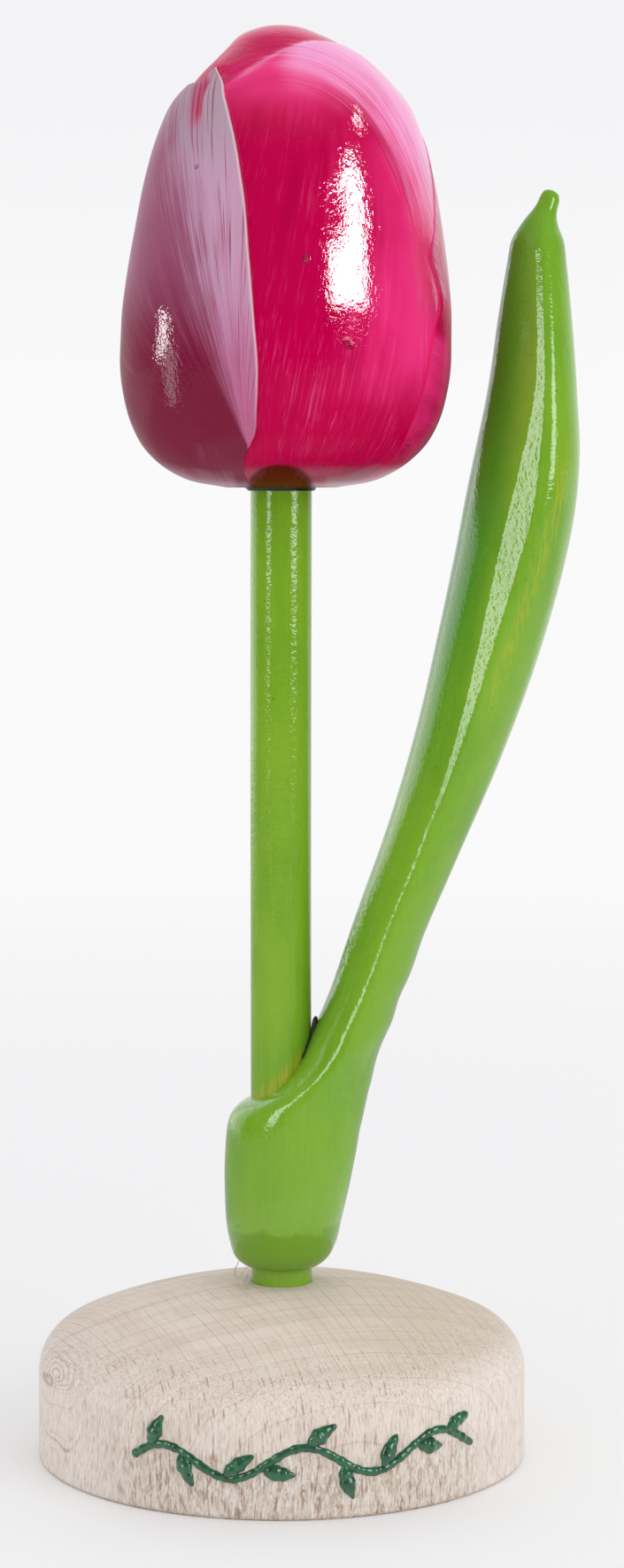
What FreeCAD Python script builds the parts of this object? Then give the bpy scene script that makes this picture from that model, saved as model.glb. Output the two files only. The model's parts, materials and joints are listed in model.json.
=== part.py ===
import FreeCAD, Part
import math
import os
import Sketcher
from FreeCAD import Placement, Rotation, Vector

# A painted wooden tulip on a turned disc. All lengths in millimetres, +Z up.
# The origin is the centre of the underside of the base, on the axis of the stem.
# The flower is seen from -Y, and the leaf leans towards +X.

document = FreeCAD.newDocument("wooden_tulip")
sheet = document.addObject("Spreadsheet::Sheet", "sizes")

driving_sizes = [
    ("base_radius", 32.2, "turned disc, outside"),
    ("base_thickness", 23.0, "turned disc, at the stem"),
    ("crown_radius", 74.0, "shallow dome of the top"),
    ("shoulder_radius", 6.4, "round between the dome and the side"),
    ("base_edge", 0.4, "broken lower edge"),
    ("base_hole_depth", 15.0, "blind hole for the stem"),
    ("stem_radius", 4.0, "8 mm dowel"),
    ("stem_length", 139.7, "hole floor to socket floor"),
    ("stem_edge", 0.5, "broken ends of the dowel"),
    ("glue_gap", 0.05, "round the stem in each bore"),
    ("collar_gap", 1.9, "bare stem between base and collar"),
    ("leaf_height", 141.0, "collar underside to the tip"),
    ("leaf_reach", 35.0, "stem axis to the tip"),
    ("leaf_width", 17.4, "collar, along X"),
    ("leaf_depth", 21.0, "blade at its widest, along Y"),
    ("bloom_radius", 21.0, "flower head under the raised petals"),
    ("bloom_height", 59.3, "flower head"),
    ("bloom_shift", 0.8, "flower head off the stem axis, along X"),
    ("petal_step", 0.5, "relief of the outer petals"),
    ("socket_depth", 20.0, "blind socket for the stem"),
]

for row, (alias, value, note) in enumerate(driving_sizes, start=1):
    sheet.set(f"A{row}", alias)
    sheet.set(f"B{row}", str(value))
    sheet.setAlias(f"B{row}", alias)
    sheet.set(f"C{row}", note)
document.recompute()


def size(alias):
    """Value of one cell of the sheet."""
    return float(sheet.get(alias))


def cell(alias):
    """Name of one cell, as an expression spells it."""
    return f"<<sizes>>.{alias}"


stem_floor = f"({cell('base_thickness')} - {cell('base_hole_depth')})"
bore_radius = f"({cell('stem_radius')} + {cell('glue_gap')})"
bloom_foot = f"({stem_floor} + {cell('stem_length')} - {cell('socket_depth')})"


def new_body(label):
    """An empty body with the label of its sub-part."""
    body = document.addObject("PartDesign::Body", label)
    body.Label = label
    return body


def new_sketch(body, name, role):
    """A sketch on one of the origin planes of its own body."""
    plane = next(item for item in body.Origin.OriginFeatures if item.Role == role)
    sketch = body.newObject("Sketcher::SketchObject", name)
    sketch.AttachmentSupport = [(plane, "")]
    sketch.MapMode = "FlatFace"
    return sketch


def dimension(sketch, constraint, name, expression):
    """Adds a driving constraint and binds it to the sheet."""
    index = sketch.addConstraint(constraint)
    sketch.renameConstraint(index, name)
    sketch.setExpression(f"Constraints.{name}", expression)


def add_circle(sketch, radius, name, expression):
    """A circle about the sketch's own origin."""
    circle = Part.Circle(Vector(0, 0, 0), Vector(0, 0, 1), radius)
    index = sketch.addGeometry(circle, False)
    sketch.addConstraint(Sketcher.Constraint("Coincident", index, 3, -1, 1))
    dimension(sketch, Sketcher.Constraint("Radius", index, radius), name, expression)


def circular_edges(feature, heights):
    """Names of the round edges that lie flat at one of the given heights."""
    names = []
    for index, edge in enumerate(feature.Shape.Edges, start=1):
        box = edge.BoundBox
        flat = box.ZLength < 1e-6
        if flat and any(abs(box.ZMin - height) < 1e-6 for height in heights):
            names.append(f"Edge{index}")
    return names


def add_chamfer(body, base, name, edge_names, expression):
    """Breaks the named edges of the last feature."""
    chamfer = body.newObject("PartDesign::Chamfer", name)
    chamfer.Base = (base, edge_names)
    chamfer.setExpression("Size", expression)
    base.Visibility = False
    return chamfer


# Base: half section turned about Z, then the blind hole for the stem
def make_base():
    radius = size("base_radius")
    thickness = size("base_thickness")
    crown = size("crown_radius")
    shoulder = size("shoulder_radius")
    crown_centre = Vector(0, thickness - crown, 0)
    shoulder_x = radius - shoulder
    rise = math.sqrt((crown - shoulder) ** 2 - shoulder_x ** 2)
    shoulder_centre = Vector(shoulder_x, crown_centre.y + rise, 0)
    meeting_angle = math.atan2(rise, shoulder_x)
    upright = math.pi / 2
    axis_z = Vector(0, 0, 1)

    body = new_body("base")
    profile = new_sketch(body, "base_profile", "XZ_Plane")
    rim = Vector(radius, shoulder_centre.y, 0)
    foot, side, round_edge, dome, axis = profile.addGeometry([
        Part.LineSegment(Vector(0, 0, 0), Vector(radius, 0, 0)),
        Part.LineSegment(Vector(radius, 0, 0), rim),
        Part.ArcOfCircle(Part.Circle(shoulder_centre, axis_z, shoulder), 0, meeting_angle),
        Part.ArcOfCircle(Part.Circle(crown_centre, axis_z, crown), meeting_angle, upright),
        Part.LineSegment(Vector(0, thickness, 0), Vector(0, 0, 0)),
    ], False)
    profile.addConstraint([
        Sketcher.Constraint("Coincident", foot, 1, -1, 1),
        Sketcher.Constraint("Horizontal", foot),
        Sketcher.Constraint("Coincident", foot, 2, side, 1),
        Sketcher.Constraint("Vertical", side),
        Sketcher.Constraint("Tangent", side, 2, round_edge, 1),
        Sketcher.Constraint("Tangent", round_edge, 2, dome, 1),
        Sketcher.Constraint("Coincident", dome, 2, axis, 1),
        Sketcher.Constraint("Coincident", axis, 2, foot, 1),
        Sketcher.Constraint("PointOnObject", dome, 3, -2),
        Sketcher.Constraint("Vertical", axis),
    ])
    reach = Sketcher.Constraint("DistanceX", foot, 1, foot, 2, radius)
    dimension(profile, reach, "radius", cell("base_radius"))
    height = Sketcher.Constraint("DistanceY", axis, 2, axis, 1, thickness)
    dimension(profile, height, "thickness", cell("base_thickness"))
    round_size = Sketcher.Constraint("Radius", round_edge, shoulder)
    dimension(profile, round_size, "shoulder", cell("shoulder_radius"))
    dome_size = Sketcher.Constraint("Radius", dome, crown)
    dimension(profile, dome_size, "crown", cell("crown_radius"))

    turned = body.newObject("PartDesign::Revolution", "base_turned")
    turned.Profile = profile
    turned.ReferenceAxis = (profile, ["V_Axis"])
    turned.Angle = 360
    document.recompute()
    lower_edges = circular_edges(turned, [0])
    edge = add_chamfer(body, turned, "base_lower_edge", lower_edges, cell("base_edge"))
    document.recompute()

    mouth = new_sketch(body, "base_hole_mouth", "XY_Plane")
    mouth.setExpression("AttachmentOffset.Base.z", cell("base_thickness"))
    add_circle(mouth, size("stem_radius"), "bore", bore_radius)
    hole = body.newObject("PartDesign::Pocket", "base_hole")
    hole.Profile = mouth
    hole.setExpression("Length", cell("base_hole_depth"))
    document.recompute()
    if hole.Shape.Volume >= edge.Shape.Volume:
        raise ValueError("the hole in the base cuts nothing")
    return body


# Stem: one dowel from the floor of the base's hole to the floor of the bloom's socket
def make_stem():
    body = new_body("stem")
    section = new_sketch(body, "stem_section", "XY_Plane")
    add_circle(section, size("stem_radius"), "radius", cell("stem_radius"))
    dowel = body.newObject("PartDesign::Pad", "stem_dowel")
    dowel.Profile = section
    dowel.setExpression("Length", cell("stem_length"))
    document.recompute()
    ends = circular_edges(dowel, [0, size("stem_length")])
    add_chamfer(body, dowel, "stem_ends", ends, cell("stem_edge"))
    body.setExpression(".Placement.Base.z", stem_floor)
    return body


# Leaf: oval sections from the collar's underside to the tip. Each row gives the
# section's height as a share of leaf_height, its centre's X as a share of
# leaf_reach, its size along X as a share of leaf_width, its size along Y as a
# share of leaf_depth, and how far it tilts up towards +X, in degrees.
leaf_section_shares = [
    (0.0000, 0.000, 0.550, 0.480, 0),
    (0.0085, 0.000, 0.690, 0.600, 0),
    (0.0255, 0.002, 0.803, 0.720, 0),
    (0.0426, 0.006, 0.868, 0.780, 0),
    (0.0674, 0.014, 0.922, 0.830, 0),
    (0.1099, 0.031, 0.989, 0.855, 0),
    (0.1362, 0.046, 1.000, 0.860, 0),
    (0.1621, 0.079, 1.006, 0.860, 9),
    (0.1762, 0.119, 0.960, 0.850, 16),
    (0.1936, 0.174, 0.879, 0.840, 23),
    (0.2160, 0.228, 0.759, 0.825, 24),
    (0.2390, 0.270, 0.695, 0.815, 23),
    (0.2691, 0.320, 0.644, 0.805, 14),
    (0.3227, 0.415, 0.575, 0.815, -12),
    (0.3936, 0.513, 0.594, 0.860, -21),
    (0.4925, 0.662, 0.672, 0.940, -19),
    (0.5908, 0.781, 0.738, 0.985, -15),
    (0.6894, 0.875, 0.793, 1.000, -10),
    (0.7546, 0.911, 0.790, 0.975, -5),
    (0.8191, 0.928, 0.693, 0.870, -3),
    (0.8837, 0.938, 0.553, 0.680, -1),
    (0.9326, 0.945, 0.432, 0.500, -1),
    (0.9539, 0.948, 0.372, 0.410, -2),
    (0.9688, 0.958, 0.250, 0.270, -8),
    (0.9830, 0.980, 0.140, 0.130, -18),
    (0.9929, 0.995, 0.118, 0.104, -18),
    (0.9979, 0.999, 0.088, 0.076, -18),
    (1.0000, 1.001, 0.044, 0.040, -18),
]


def make_leaf():
    body = new_body("leaf")
    sections = []
    for number, shares in enumerate(leaf_section_shares, start=1):
        height_share, reach_share, width_share, depth_share, tilt = shares
        width = width_share * size("leaf_width")
        depth = depth_share * size("leaf_depth")
        outline = new_sketch(body, f"leaf_section_{number}", "XY_Plane")
        outline.AttachmentOffset = Placement(Vector(0, 0, 0), Rotation(Vector(0, -1, 0), tilt))
        outline.setExpression("AttachmentOffset.Base.x", f"{cell('leaf_reach')} * {reach_share}")
        outline.setExpression("AttachmentOffset.Base.z", f"{cell('leaf_height')} * {height_share}")
        oval = Part.Ellipse(Vector(0, depth / 2, 0), Vector(-width / 2, 0, 0), Vector(0, 0, 0))
        outline.addGeometry(oval, False)
        outline.exposeInternalGeometry(0)
        outline.addConstraint(Sketcher.Constraint("Coincident", 0, 3, -1, 1))
        outline.addConstraint(Sketcher.Constraint("Vertical", 1))
        along_y = Sketcher.Constraint("Distance", 1, depth)
        dimension(outline, along_y, "depth", f"{cell('leaf_depth')} * {depth_share}")
        along_x = Sketcher.Constraint("Distance", 2, width)
        dimension(outline, along_x, "width", f"{cell('leaf_width')} * {width_share}")
        sections.append(outline)
    document.recompute()

    carved = body.newObject("PartDesign::AdditiveLoft", "leaf_carved")
    carved.Profile = sections[0]
    carved.Sections = sections[1:]
    carved.Ruled = False
    carved.Closed = False
    document.recompute()

    mouth = new_sketch(body, "leaf_bore_mouth", "XY_Plane")
    add_circle(mouth, size("stem_radius"), "bore", bore_radius)
    bore = body.newObject("PartDesign::Pocket", "leaf_bore")
    bore.Profile = mouth
    bore.Type = "ThroughAll"
    bore.Reversed = True
    document.recompute()
    if bore.Shape.Volume >= carved.Shape.Volume:
        raise ValueError("the bore of the collar cuts nothing")
    body.setExpression(".Placement.Base.z", f"{cell('base_thickness')} + {cell('collar_gap')}")
    return body


# Bloom: half outline of the head, turned about its own axis. Each pair is a
# share of the radius and a share of bloom_height, from the underside up.
bloom_outline_shares = [
    (0.333, 0.000),
    (0.590, 0.022),
    (0.829, 0.081),
    (0.962, 0.186),
    (1.000, 0.312),
    (0.967, 0.464),
    (0.886, 0.641),
    (0.781, 0.776),
    (0.590, 0.890),
    (0.333, 0.965),
    (0.000, 1.000),
]

# Edges of the raised petals, seen along Y, from the tip down. Each pair is a
# share of bloom_radius along X and a share of bloom_height.
left_front_edge_shares = [
    (-0.432, 0.902),
    (-0.357, 0.815),
    (-0.283, 0.700),
    (-0.229, 0.553),
    (-0.195, 0.388),
    (-0.160, 0.241),
    (-0.176, 0.115),
    (-0.260, -0.050),
]
left_back_edge_shares = [
    (-0.520, 0.860),
    (-0.610, 0.640),
    (-0.640, 0.400),
    (-0.600, 0.200),
    (-0.450, -0.050),
]
right_front_edge_shares = [
    (0.930, 0.620),
    (0.945, 0.450),
    (0.935, 0.280),
    (0.890, 0.120),
    (0.800, -0.050),
]
right_back_edge_shares = [
    (0.150, 0.940),
    (-0.150, 0.800),
    (-0.300, 0.600),
    (-0.340, 0.380),
    (-0.280, 0.160),
    (-0.150, -0.050),
]
# Corners that close each outline outside the head, from the foot back to the tip
left_front_corner_shares = [(-1.2, -0.05), (-1.2, 0.75), (-0.70, 0.831), (-0.56, 0.840)]
left_back_corner_shares = [(-1.2, -0.05), (-1.2, 0.75), (-0.70, 0.831)]
right_front_corner_shares = [(1.2, -0.05), (1.2, 0.62)]
right_back_corner_shares = [(1.2, -0.05), (1.2, 0.62), (0.80, 0.800)]
prism_share = 1.2


def turned_head(radius, height):
    """The outline carried once round Z, closed by the flat underside."""
    rising = []
    falling = []
    for radius_share, height_share in bloom_outline_shares:
        rising.append(Vector(radius_share * radius, 0, height_share * height))
        falling.append(Vector(-radius_share * radius, 0, height_share * height))
    curve = Part.BSplineCurve()
    curve.interpolate(Points=rising + falling[-2::-1])
    top = rising[-1]
    curve.segment(curve.FirstParameter, curve.parameter(top))
    start = Vector(0, 0, 0)
    underside = Part.LineSegment(start, rising[0])
    axis = Part.LineSegment(top, start)
    wire = Part.Wire([underside.toShape(), curve.toShape(), axis.toShape()])
    return Part.Face(wire).revolve(start, Vector(0, 0, 1), 360)


def petal_prism(edge_shares, corner_shares, side):
    """A petal's outline carried along Y, to the front (-1) or to the back (1)."""
    radius = size("bloom_radius")
    height = size("bloom_height")

    def place(share):
        return Vector(share[0] * radius, 0, share[1] * height)

    edge = Part.BSplineCurve()
    edge.interpolate(Points=[place(share) for share in edge_shares])
    corners = [edge_shares[-1]] + corner_shares + [edge_shares[0]]
    straight = Part.makePolygon([place(share) for share in corners])
    outline = Part.Wire([edge.toShape()] + straight.Edges)
    return Part.Face(outline).extrude(Vector(0, side * prism_share * radius, 0))


def solid_feature(name, shape):
    """A document object that holds one shape worked out above."""
    feature = document.addObject("Part::Feature", name)
    feature.Shape = shape
    return feature


def make_bloom():
    step = size("petal_step")
    head = solid_feature("bloom_head", turned_head(size("bloom_radius"), size("bloom_height")))
    proud_shape = turned_head(size("bloom_radius") + step, size("bloom_height") + step)
    outlines = [
        ("left_petal_front", left_front_edge_shares, left_front_corner_shares, -1),
        ("left_petal_back", left_back_edge_shares, left_back_corner_shares, 1),
        ("right_petal_front", right_front_edge_shares, right_front_corner_shares, -1),
        ("right_petal_back", right_back_edge_shares, right_back_corner_shares, 1),
    ]
    petals = []
    for name, edge_shares, corner_shares, side in outlines:
        proud_head = solid_feature(name + "_head", proud_shape)
        prism = solid_feature(name + "_outline", petal_prism(edge_shares, corner_shares, side))
        petal = document.addObject("Part::Common", name)
        petal.Base = proud_head
        petal.Tool = prism
        petals.append(petal)
    document.recompute()

    joined = document.addObject("Part::MultiFuse", "bloom_carved")
    joined.Shapes = [head] + petals
    joined.Refine = True
    socket = document.addObject("Part::Cylinder", "bloom_socket")
    socket.setExpression("Radius", bore_radius)
    socket.setExpression("Height", cell("socket_depth"))
    socket.setExpression(".Placement.Base.x", f"0 - {cell('bloom_shift')}")
    bloom = document.addObject("Part::Cut", "bloom")
    bloom.Label = "bloom"
    bloom.Base = joined
    bloom.Tool = socket
    bloom.setExpression(".Placement.Base.x", cell("bloom_shift"))
    bloom.setExpression(".Placement.Base.z", bloom_foot)
    document.recompute()
    if bloom.Shape.Volume >= joined.Shape.Volume:
        raise ValueError("the socket of the bloom cuts nothing")
    return bloom


sub_parts = [make_base(), make_stem(), make_leaf(), make_bloom()]
document.recompute()

for item in document.Objects:
    if "Invalid" in item.State or "Error" in item.State:
        raise ValueError(f"{item.Name} failed to build: {item.State}")
for part in sub_parts:
    shape = part.Shape
    if shape.isNull() or not shape.isValid() or len(shape.Solids) != 1:
        raise ValueError(f"{part.Label} isn't one valid solid")

os.makedirs("parts", exist_ok=True)
for part in sub_parts:
    part.Shape.exportStep(f"parts/{part.Label}.step")
    box = part.Shape.BoundBox
    print(part.Label, "volume", round(part.Shape.Volume), "height", round(box.ZMin, 2), round(box.ZMax, 2))
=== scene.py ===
import json
import math

import bpy
import numpy as np
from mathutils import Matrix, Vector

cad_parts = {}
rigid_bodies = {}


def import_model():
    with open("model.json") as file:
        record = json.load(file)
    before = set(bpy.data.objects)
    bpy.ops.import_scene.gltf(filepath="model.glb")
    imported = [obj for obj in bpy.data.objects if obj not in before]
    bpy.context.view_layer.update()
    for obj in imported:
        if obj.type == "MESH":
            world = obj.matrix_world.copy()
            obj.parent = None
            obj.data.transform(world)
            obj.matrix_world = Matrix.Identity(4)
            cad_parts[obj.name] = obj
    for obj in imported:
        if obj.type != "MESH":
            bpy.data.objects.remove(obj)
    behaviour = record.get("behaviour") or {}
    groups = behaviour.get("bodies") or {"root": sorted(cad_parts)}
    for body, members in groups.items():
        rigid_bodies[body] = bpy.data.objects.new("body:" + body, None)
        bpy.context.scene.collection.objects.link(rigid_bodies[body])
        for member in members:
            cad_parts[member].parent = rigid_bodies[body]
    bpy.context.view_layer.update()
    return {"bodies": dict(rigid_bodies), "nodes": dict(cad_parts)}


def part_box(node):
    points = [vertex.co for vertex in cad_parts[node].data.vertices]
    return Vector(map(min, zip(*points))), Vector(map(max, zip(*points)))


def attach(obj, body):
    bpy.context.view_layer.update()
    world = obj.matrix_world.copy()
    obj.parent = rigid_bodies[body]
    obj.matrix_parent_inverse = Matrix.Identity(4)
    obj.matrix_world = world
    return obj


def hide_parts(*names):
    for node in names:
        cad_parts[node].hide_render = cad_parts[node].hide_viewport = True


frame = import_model()

mm = 0.001
body = list(frame["bodies"])[0]
baseLow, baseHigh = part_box("base")
stemLow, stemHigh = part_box("stem")
leafLow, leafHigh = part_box("leaf")
bloomLow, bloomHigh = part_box("bloom")
print("stage: frame loaded,", len(frame["nodes"]), "nodes")


# maths shared by the surfaces

def eased(t):  # 0 to 1 with soft ends: 3t^2 - 2t^3
    t = np.clip(t, 0.0, 1.0)
    return t * t * (3.0 - 2.0 * t)


def curveThrough(knots, values, at):
    # cubic pieces through the points; the slope at a point is the mean of the
    # chords beside it, held flat where they change sign
    knots = np.asarray(knots, float)
    values = np.asarray(values, float)
    gap = np.diff(knots)
    chord = np.diff(values) / gap
    slope = np.empty(len(knots))
    slope[0], slope[-1] = chord[0], chord[-1]
    slope[1:-1] = (chord[:-1] * gap[1:] + chord[1:] * gap[:-1]) / (gap[1:] + gap[:-1])
    turning = chord[:-1] * chord[1:] <= 0
    steepest = 3.0 * np.minimum(abs(chord[:-1]), abs(chord[1:]))
    slope[1:-1] = np.where(turning, 0.0, np.clip(slope[1:-1], -steepest, steepest))
    at = np.clip(np.asarray(at, float), knots[0], knots[-1])
    i = np.clip(np.searchsorted(knots, at) - 1, 0, len(gap) - 1)
    t = (at - knots[i]) / gap[i]
    a, b = values[i], values[i + 1]
    return (a * (1 + 2 * t) * (1 - t) ** 2 + b * t * t * (3 - 2 * t)
            + gap[i] * (slope[i] * t * (1 - t) ** 2 - slope[i + 1] * t * t * (1 - t)))


def softNoise(points, wavelength, seed, waves=7):
    # sum of a few seeded sine waves in random directions, about -1 to 1
    rng = np.random.default_rng(seed)
    total = np.zeros(points.shape[:-1])
    for _ in range(waves):
        direction = rng.normal(size=3)
        direction /= np.linalg.norm(direction)
        length = wavelength * rng.uniform(0.6, 1.7)
        total += np.sin(points @ direction * 2 * np.pi / length + rng.uniform(0, 6.28))
    return total / (waves / 2)


def runAlong(points, extra=0.0):  # length along a line at each of its points
    steps = np.linalg.norm(np.diff(points, axis=0), axis=1) + extra
    return np.concatenate([[0], np.cumsum(steps)])


def unit(vectors):
    return vectors / np.linalg.norm(vectors, axis=1)[:, None]


def turned(profile, columns):
    # radius and height of each row carried once round Z
    angle = np.linspace(0, 2 * np.pi, columns, endpoint=False)
    radius, height = profile[:, :1], profile[:, 1:2]
    x = radius * np.cos(angle)
    return np.stack([x, radius * np.sin(angle), height + 0 * x], axis=-1)


def alongCorners(corners, step):
    # evenly spaced points on the straight runs between the corners
    corners = np.asarray(corners, float)
    out = [corners[:1]]
    for a, b in zip(corners[:-1], corners[1:]):
        count = max(1, int(np.ceil(np.linalg.norm(b - a) / step)))
        out.append(a + (b - a) * np.linspace(0, 1, count + 1)[1:, None])
    return np.concatenate(out)


def ovalTube(line, aside, upward, wide, tall, columns):
    # an oval of half sizes wide and tall carried along a line
    angle = np.linspace(0, 2 * np.pi, columns, endpoint=False)
    return (line[:, None] + aside[:, None] * (wide[:, None] * np.cos(angle))[..., None]
            + upward[:, None] * (tall[:, None] * np.sin(angle))[..., None])


def roundedEnds(run, reach):
    # 0 at both ends of a line, and up to 1 over the reach as a quarter circle rises
    end = np.clip(np.minimum(run, run[-1] - run) / reach, 0, 1)
    return np.sqrt(end * (2 - end))


# meshes and pieces

def flattened(values, lowPole, highPole):
    # the rows of a grid as one list; a first or last row without size gives a single
    # value, at the end of the list
    rows = values[lowPole:len(values) - highPole].reshape((-1,) + values.shape[2:])
    return np.concatenate([rows] + [values[0, :1]] * lowPole + [values[-1, :1]] * highPole)


def polesOf(points):
    return [int(np.ptp(row, axis=0).max() < 1e-9) for row in (points[0], points[-1])]


def gridSkin(points, start=0):
    # rows of a grid round an axis become one closed skin: quads between the rows,
    # and a fan to one point where the first or last row has no size
    lowPole, highPole = polesOf(points)
    columns = points.shape[1]
    index = start + np.arange((len(points) - lowPole - highPole) * columns).reshape(-1, columns)
    beside = np.roll(index, -1, axis=1)
    faces = np.stack([index[:-1], beside[:-1], beside[1:], index[1:]], -1).reshape(-1, 4).tolist()
    tip = index[-1, -1] + 1
    if lowPole:
        faces += np.stack([np.full(columns, tip), beside[0], index[0]], -1).tolist()
    if highPole:
        faces += np.stack([index[-1], beside[-1], np.full(columns, tip + lowPole)], -1).tolist()
    return flattened(points, lowPole, highPole), faces


def newMesh(name, vertices, faces):
    mesh = bpy.data.meshes.new(name)
    mesh.from_pydata(vertices.tolist(), [], faces)
    return mesh


def finishMesh(name, mesh, sharpAngle=50):
    mesh.shade_smooth()
    mesh.set_sharp_from_angle(angle=math.radians(sharpAngle))
    piece = bpy.data.objects.new(name, mesh)
    bpy.context.scene.collection.objects.link(piece)
    return piece


def gridPiece(name, points, attributes=None):
    # one skin as a piece, with its values kept at the same points
    mesh = newMesh(name, *gridSkin(points))
    poles = polesOf(points)
    for key, values in (attributes or {}).items():
        flat = flattened(values, *poles)
        kind, field = ("FLOAT", "value") if flat.ndim == 1 else ("FLOAT_VECTOR", "vector")
        layer = mesh.attributes.new(key, kind, "POINT")
        layer.data.foreach_set(field, np.ascontiguousarray(flat, np.float32).ravel())
    return finishMesh(name, mesh)


def gridLoop(name, points):
    # rows that come back to the first one: a ring-shaped skin
    rows, columns = points.shape[:2]
    index = np.arange(rows * columns).reshape(rows, columns)
    beside, above = np.roll(index, -1, axis=1), np.roll(index, -1, axis=0)
    faces = np.stack([index, beside, np.roll(beside, -1, axis=0), above], -1).reshape(-1, 4)
    return finishMesh(name, newMesh(name, points.reshape(-1, 3), faces.tolist()))


def placePiece(piece, material, node=None):
    piece.data.materials.clear()
    piece.data.materials.append(material)
    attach(piece, body)
    if node:
        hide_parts(node)


# materials: a value stands for what a node gives, and sums and products of values
# make Math nodes

class Value:
    def __init__(self, socket):
        self.socket = socket

    def __add__(self, other):
        return maths("ADD", self, other)

    def __sub__(self, other):
        return maths("SUBTRACT", self, other)

    def __rsub__(self, other):
        return maths("SUBTRACT", other, self)

    def __mul__(self, other):
        return maths("MULTIPLY", self, other)

    __radd__ = __add__
    __rmul__ = __mul__


def paint(red, green, blue):  # a colour as seen on screen, 0 to 255, to linear
    seen = np.array([red, green, blue]) / 255.0
    linear = np.where(seen <= 0.04045, seen / 12.92, ((seen + 0.055) / 1.055) ** 2.4)
    return (*linear.tolist(), 1.0)


def setInput(socket, value):  # a value is linked, anything else is a fixed setting
    if isinstance(value, Value):
        socket.id_data.links.new(value.socket, socket)
    else:
        socket.default_value = value


def addNode(tree, kind, inputs=None, **settings):
    made = tree.nodes.new("ShaderNode" + kind)
    for key, setting in settings.items():
        setattr(made, key, setting)
    for key, value in (inputs or {}).items():
        setInput(made.inputs[key], value)
    return made


def source(tree, kind, output, **settings):  # a value that nothing feeds
    return Value(addNode(tree, kind, **settings).outputs[output])


def derived(kind, inputs, output=0, **settings):  # a value in the tree of what feeds it
    tree = next(value.socket.id_data for value in inputs.values() if isinstance(value, Value))
    return Value(addNode(tree, kind, inputs, **settings).outputs[output])


def maths(operation, *values):
    return derived("Math", dict(enumerate(values)), operation=operation)


def measured(operation, *vectors):  # a number worked out from vectors
    return derived("VectorMath", dict(enumerate(vectors)), "Value", operation=operation)


def axisOf(vector, axis):
    return derived("SeparateXYZ", {"Vector": vector}, axis)


def ranged(value, low, high, toLow=0.0, toHigh=1.0):  # eased step from low to high
    inputs = {"Value": value, "From Min": low, "From Max": high, "To Min": toLow, "To Max": toHigh}
    return derived("MapRange", inputs, "Result", interpolation_type="SMOOTHSTEP")


def blended(factor, a, b):
    return derived("Mix", {0: factor, 6: a, 7: b}, 2, data_type="RGBA")


def layered(palette, colour, *layers):
    # paints of a palette laid over a colour one by one, each as strong as its mask
    for mask, name in layers:
        colour = blended(mask, colour, palette[name])
    return colour


def scaled(vector, scale, shift=(0, 0, 0)):
    return derived("Mapping", {"Vector": vector, "Scale": scale, "Location": shift}, "Vector")


def noise(place, scale, detail=2.0, roughness=0.5, distortion=0.0, shift=(0, 0, 0)):
    # soft noise with its own scale along each axis of the place
    inputs = {"Vector": scaled(place, scale, shift), "Scale": 1.0, "Detail": detail,
              "Roughness": roughness, "Distortion": distortion}
    return derived("TexNoise", inputs, "Fac")


def objectPlace(tree):  # place on the object in millimetres
    return scaled(source(tree, "TexCoord", "Object"), (1000, 1000, 1000))


def attribute(tree, name, output="Fac"):
    return source(tree, "Attribute", output, attribute_name=name)


def bump(height, distance, strength=1.0, normal=None):
    inputs = {"Height": height, "Distance": distance, "Strength": strength}
    if normal is not None:
        inputs["Normal"] = normal
    return derived("Bump", inputs, "Normal")


def feed(shader, **inputs):
    for key, value in inputs.items():
        setInput(shader.inputs[key.replace("_", " ")], value)


def newMaterial(name, roughness, coat=0.0, coatRoughness=0.03, specular=0.5):
    material = bpy.data.materials.new(name)
    material.use_nodes = True
    tree = material.node_tree
    tree.nodes.clear()
    shader = addNode(tree, "BsdfPrincipled")
    feed(shader, Roughness=roughness, Specular_IOR_Level=specular,
         Coat_Weight=coat, Coat_Roughness=coatRoughness)
    addNode(tree, "OutputMaterial", {"Surface": Value(shader.outputs[0])})
    return material, tree, shader


def lumpyMaterial(name, tone, shade, patchScale, patchStart, pitScale, **finish):
    # thick paint or glue in two tones, with fine pits
    material, tree, shader = newMaterial(name, **finish)
    place = objectPlace(tree)
    patches = ranged(noise(place, (patchScale,) * 3), patchStart, 0.7)
    pits = noise(place, (pitScale,) * 3)
    feed(shader, Base_Color=blended(patches, tone, shade), Normal=bump(pits, 0.05 * mm))
    return material


# the lacquer's unevenness: scale along each axis and depth; the ridges follow the strokes
lacquer = {
    "waves": ((0.20, 0.20, 0.16), 0.075 * mm),
    "peel": ((1.6, 1.6, 1.3), 0.038 * mm),
    "grit": ((4.0, 4.0, 4.0), 0.016 * mm),
    "ridges": 0.006 * mm,
}


def lacquerSkin(place, strokes):
    # brushed lacquer: slow waves, orange peel, grit, and faint ridges along the strokes
    skin = None
    for name in ("waves", "peel", "grit"):
        scale, depth = lacquer[name]
        skin = bump(noise(place, scale, 1.0), depth, normal=skin)
    return bump(strokes, lacquer["ridges"], normal=skin)


# base: turned beech disc with end grain on top

stemRadius = (stemHigh.x - stemLow.x) / 2
glueGap = 0.05 * mm

baseTurning = {
    "crownRadius": 74.0 * mm,
    "shoulderRadius": 6.4 * mm,
    "brokenEdge": 0.4 * mm,
    "holeFloor": stemLow.z,
    "boreRadius": stemRadius + glueGap,
    "thickness": 23.0 * mm,
    "wobble": 0.05 * mm,
    "wobbleLength": 21.0 * mm,
    "columns": 480,
    "shoulderRows": 22,
    "domeRows": 60,
    "footStep": 2.0 * mm,
    "sideStep": 0.45 * mm,
    "boreStep": 1.0 * mm,
}


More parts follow.
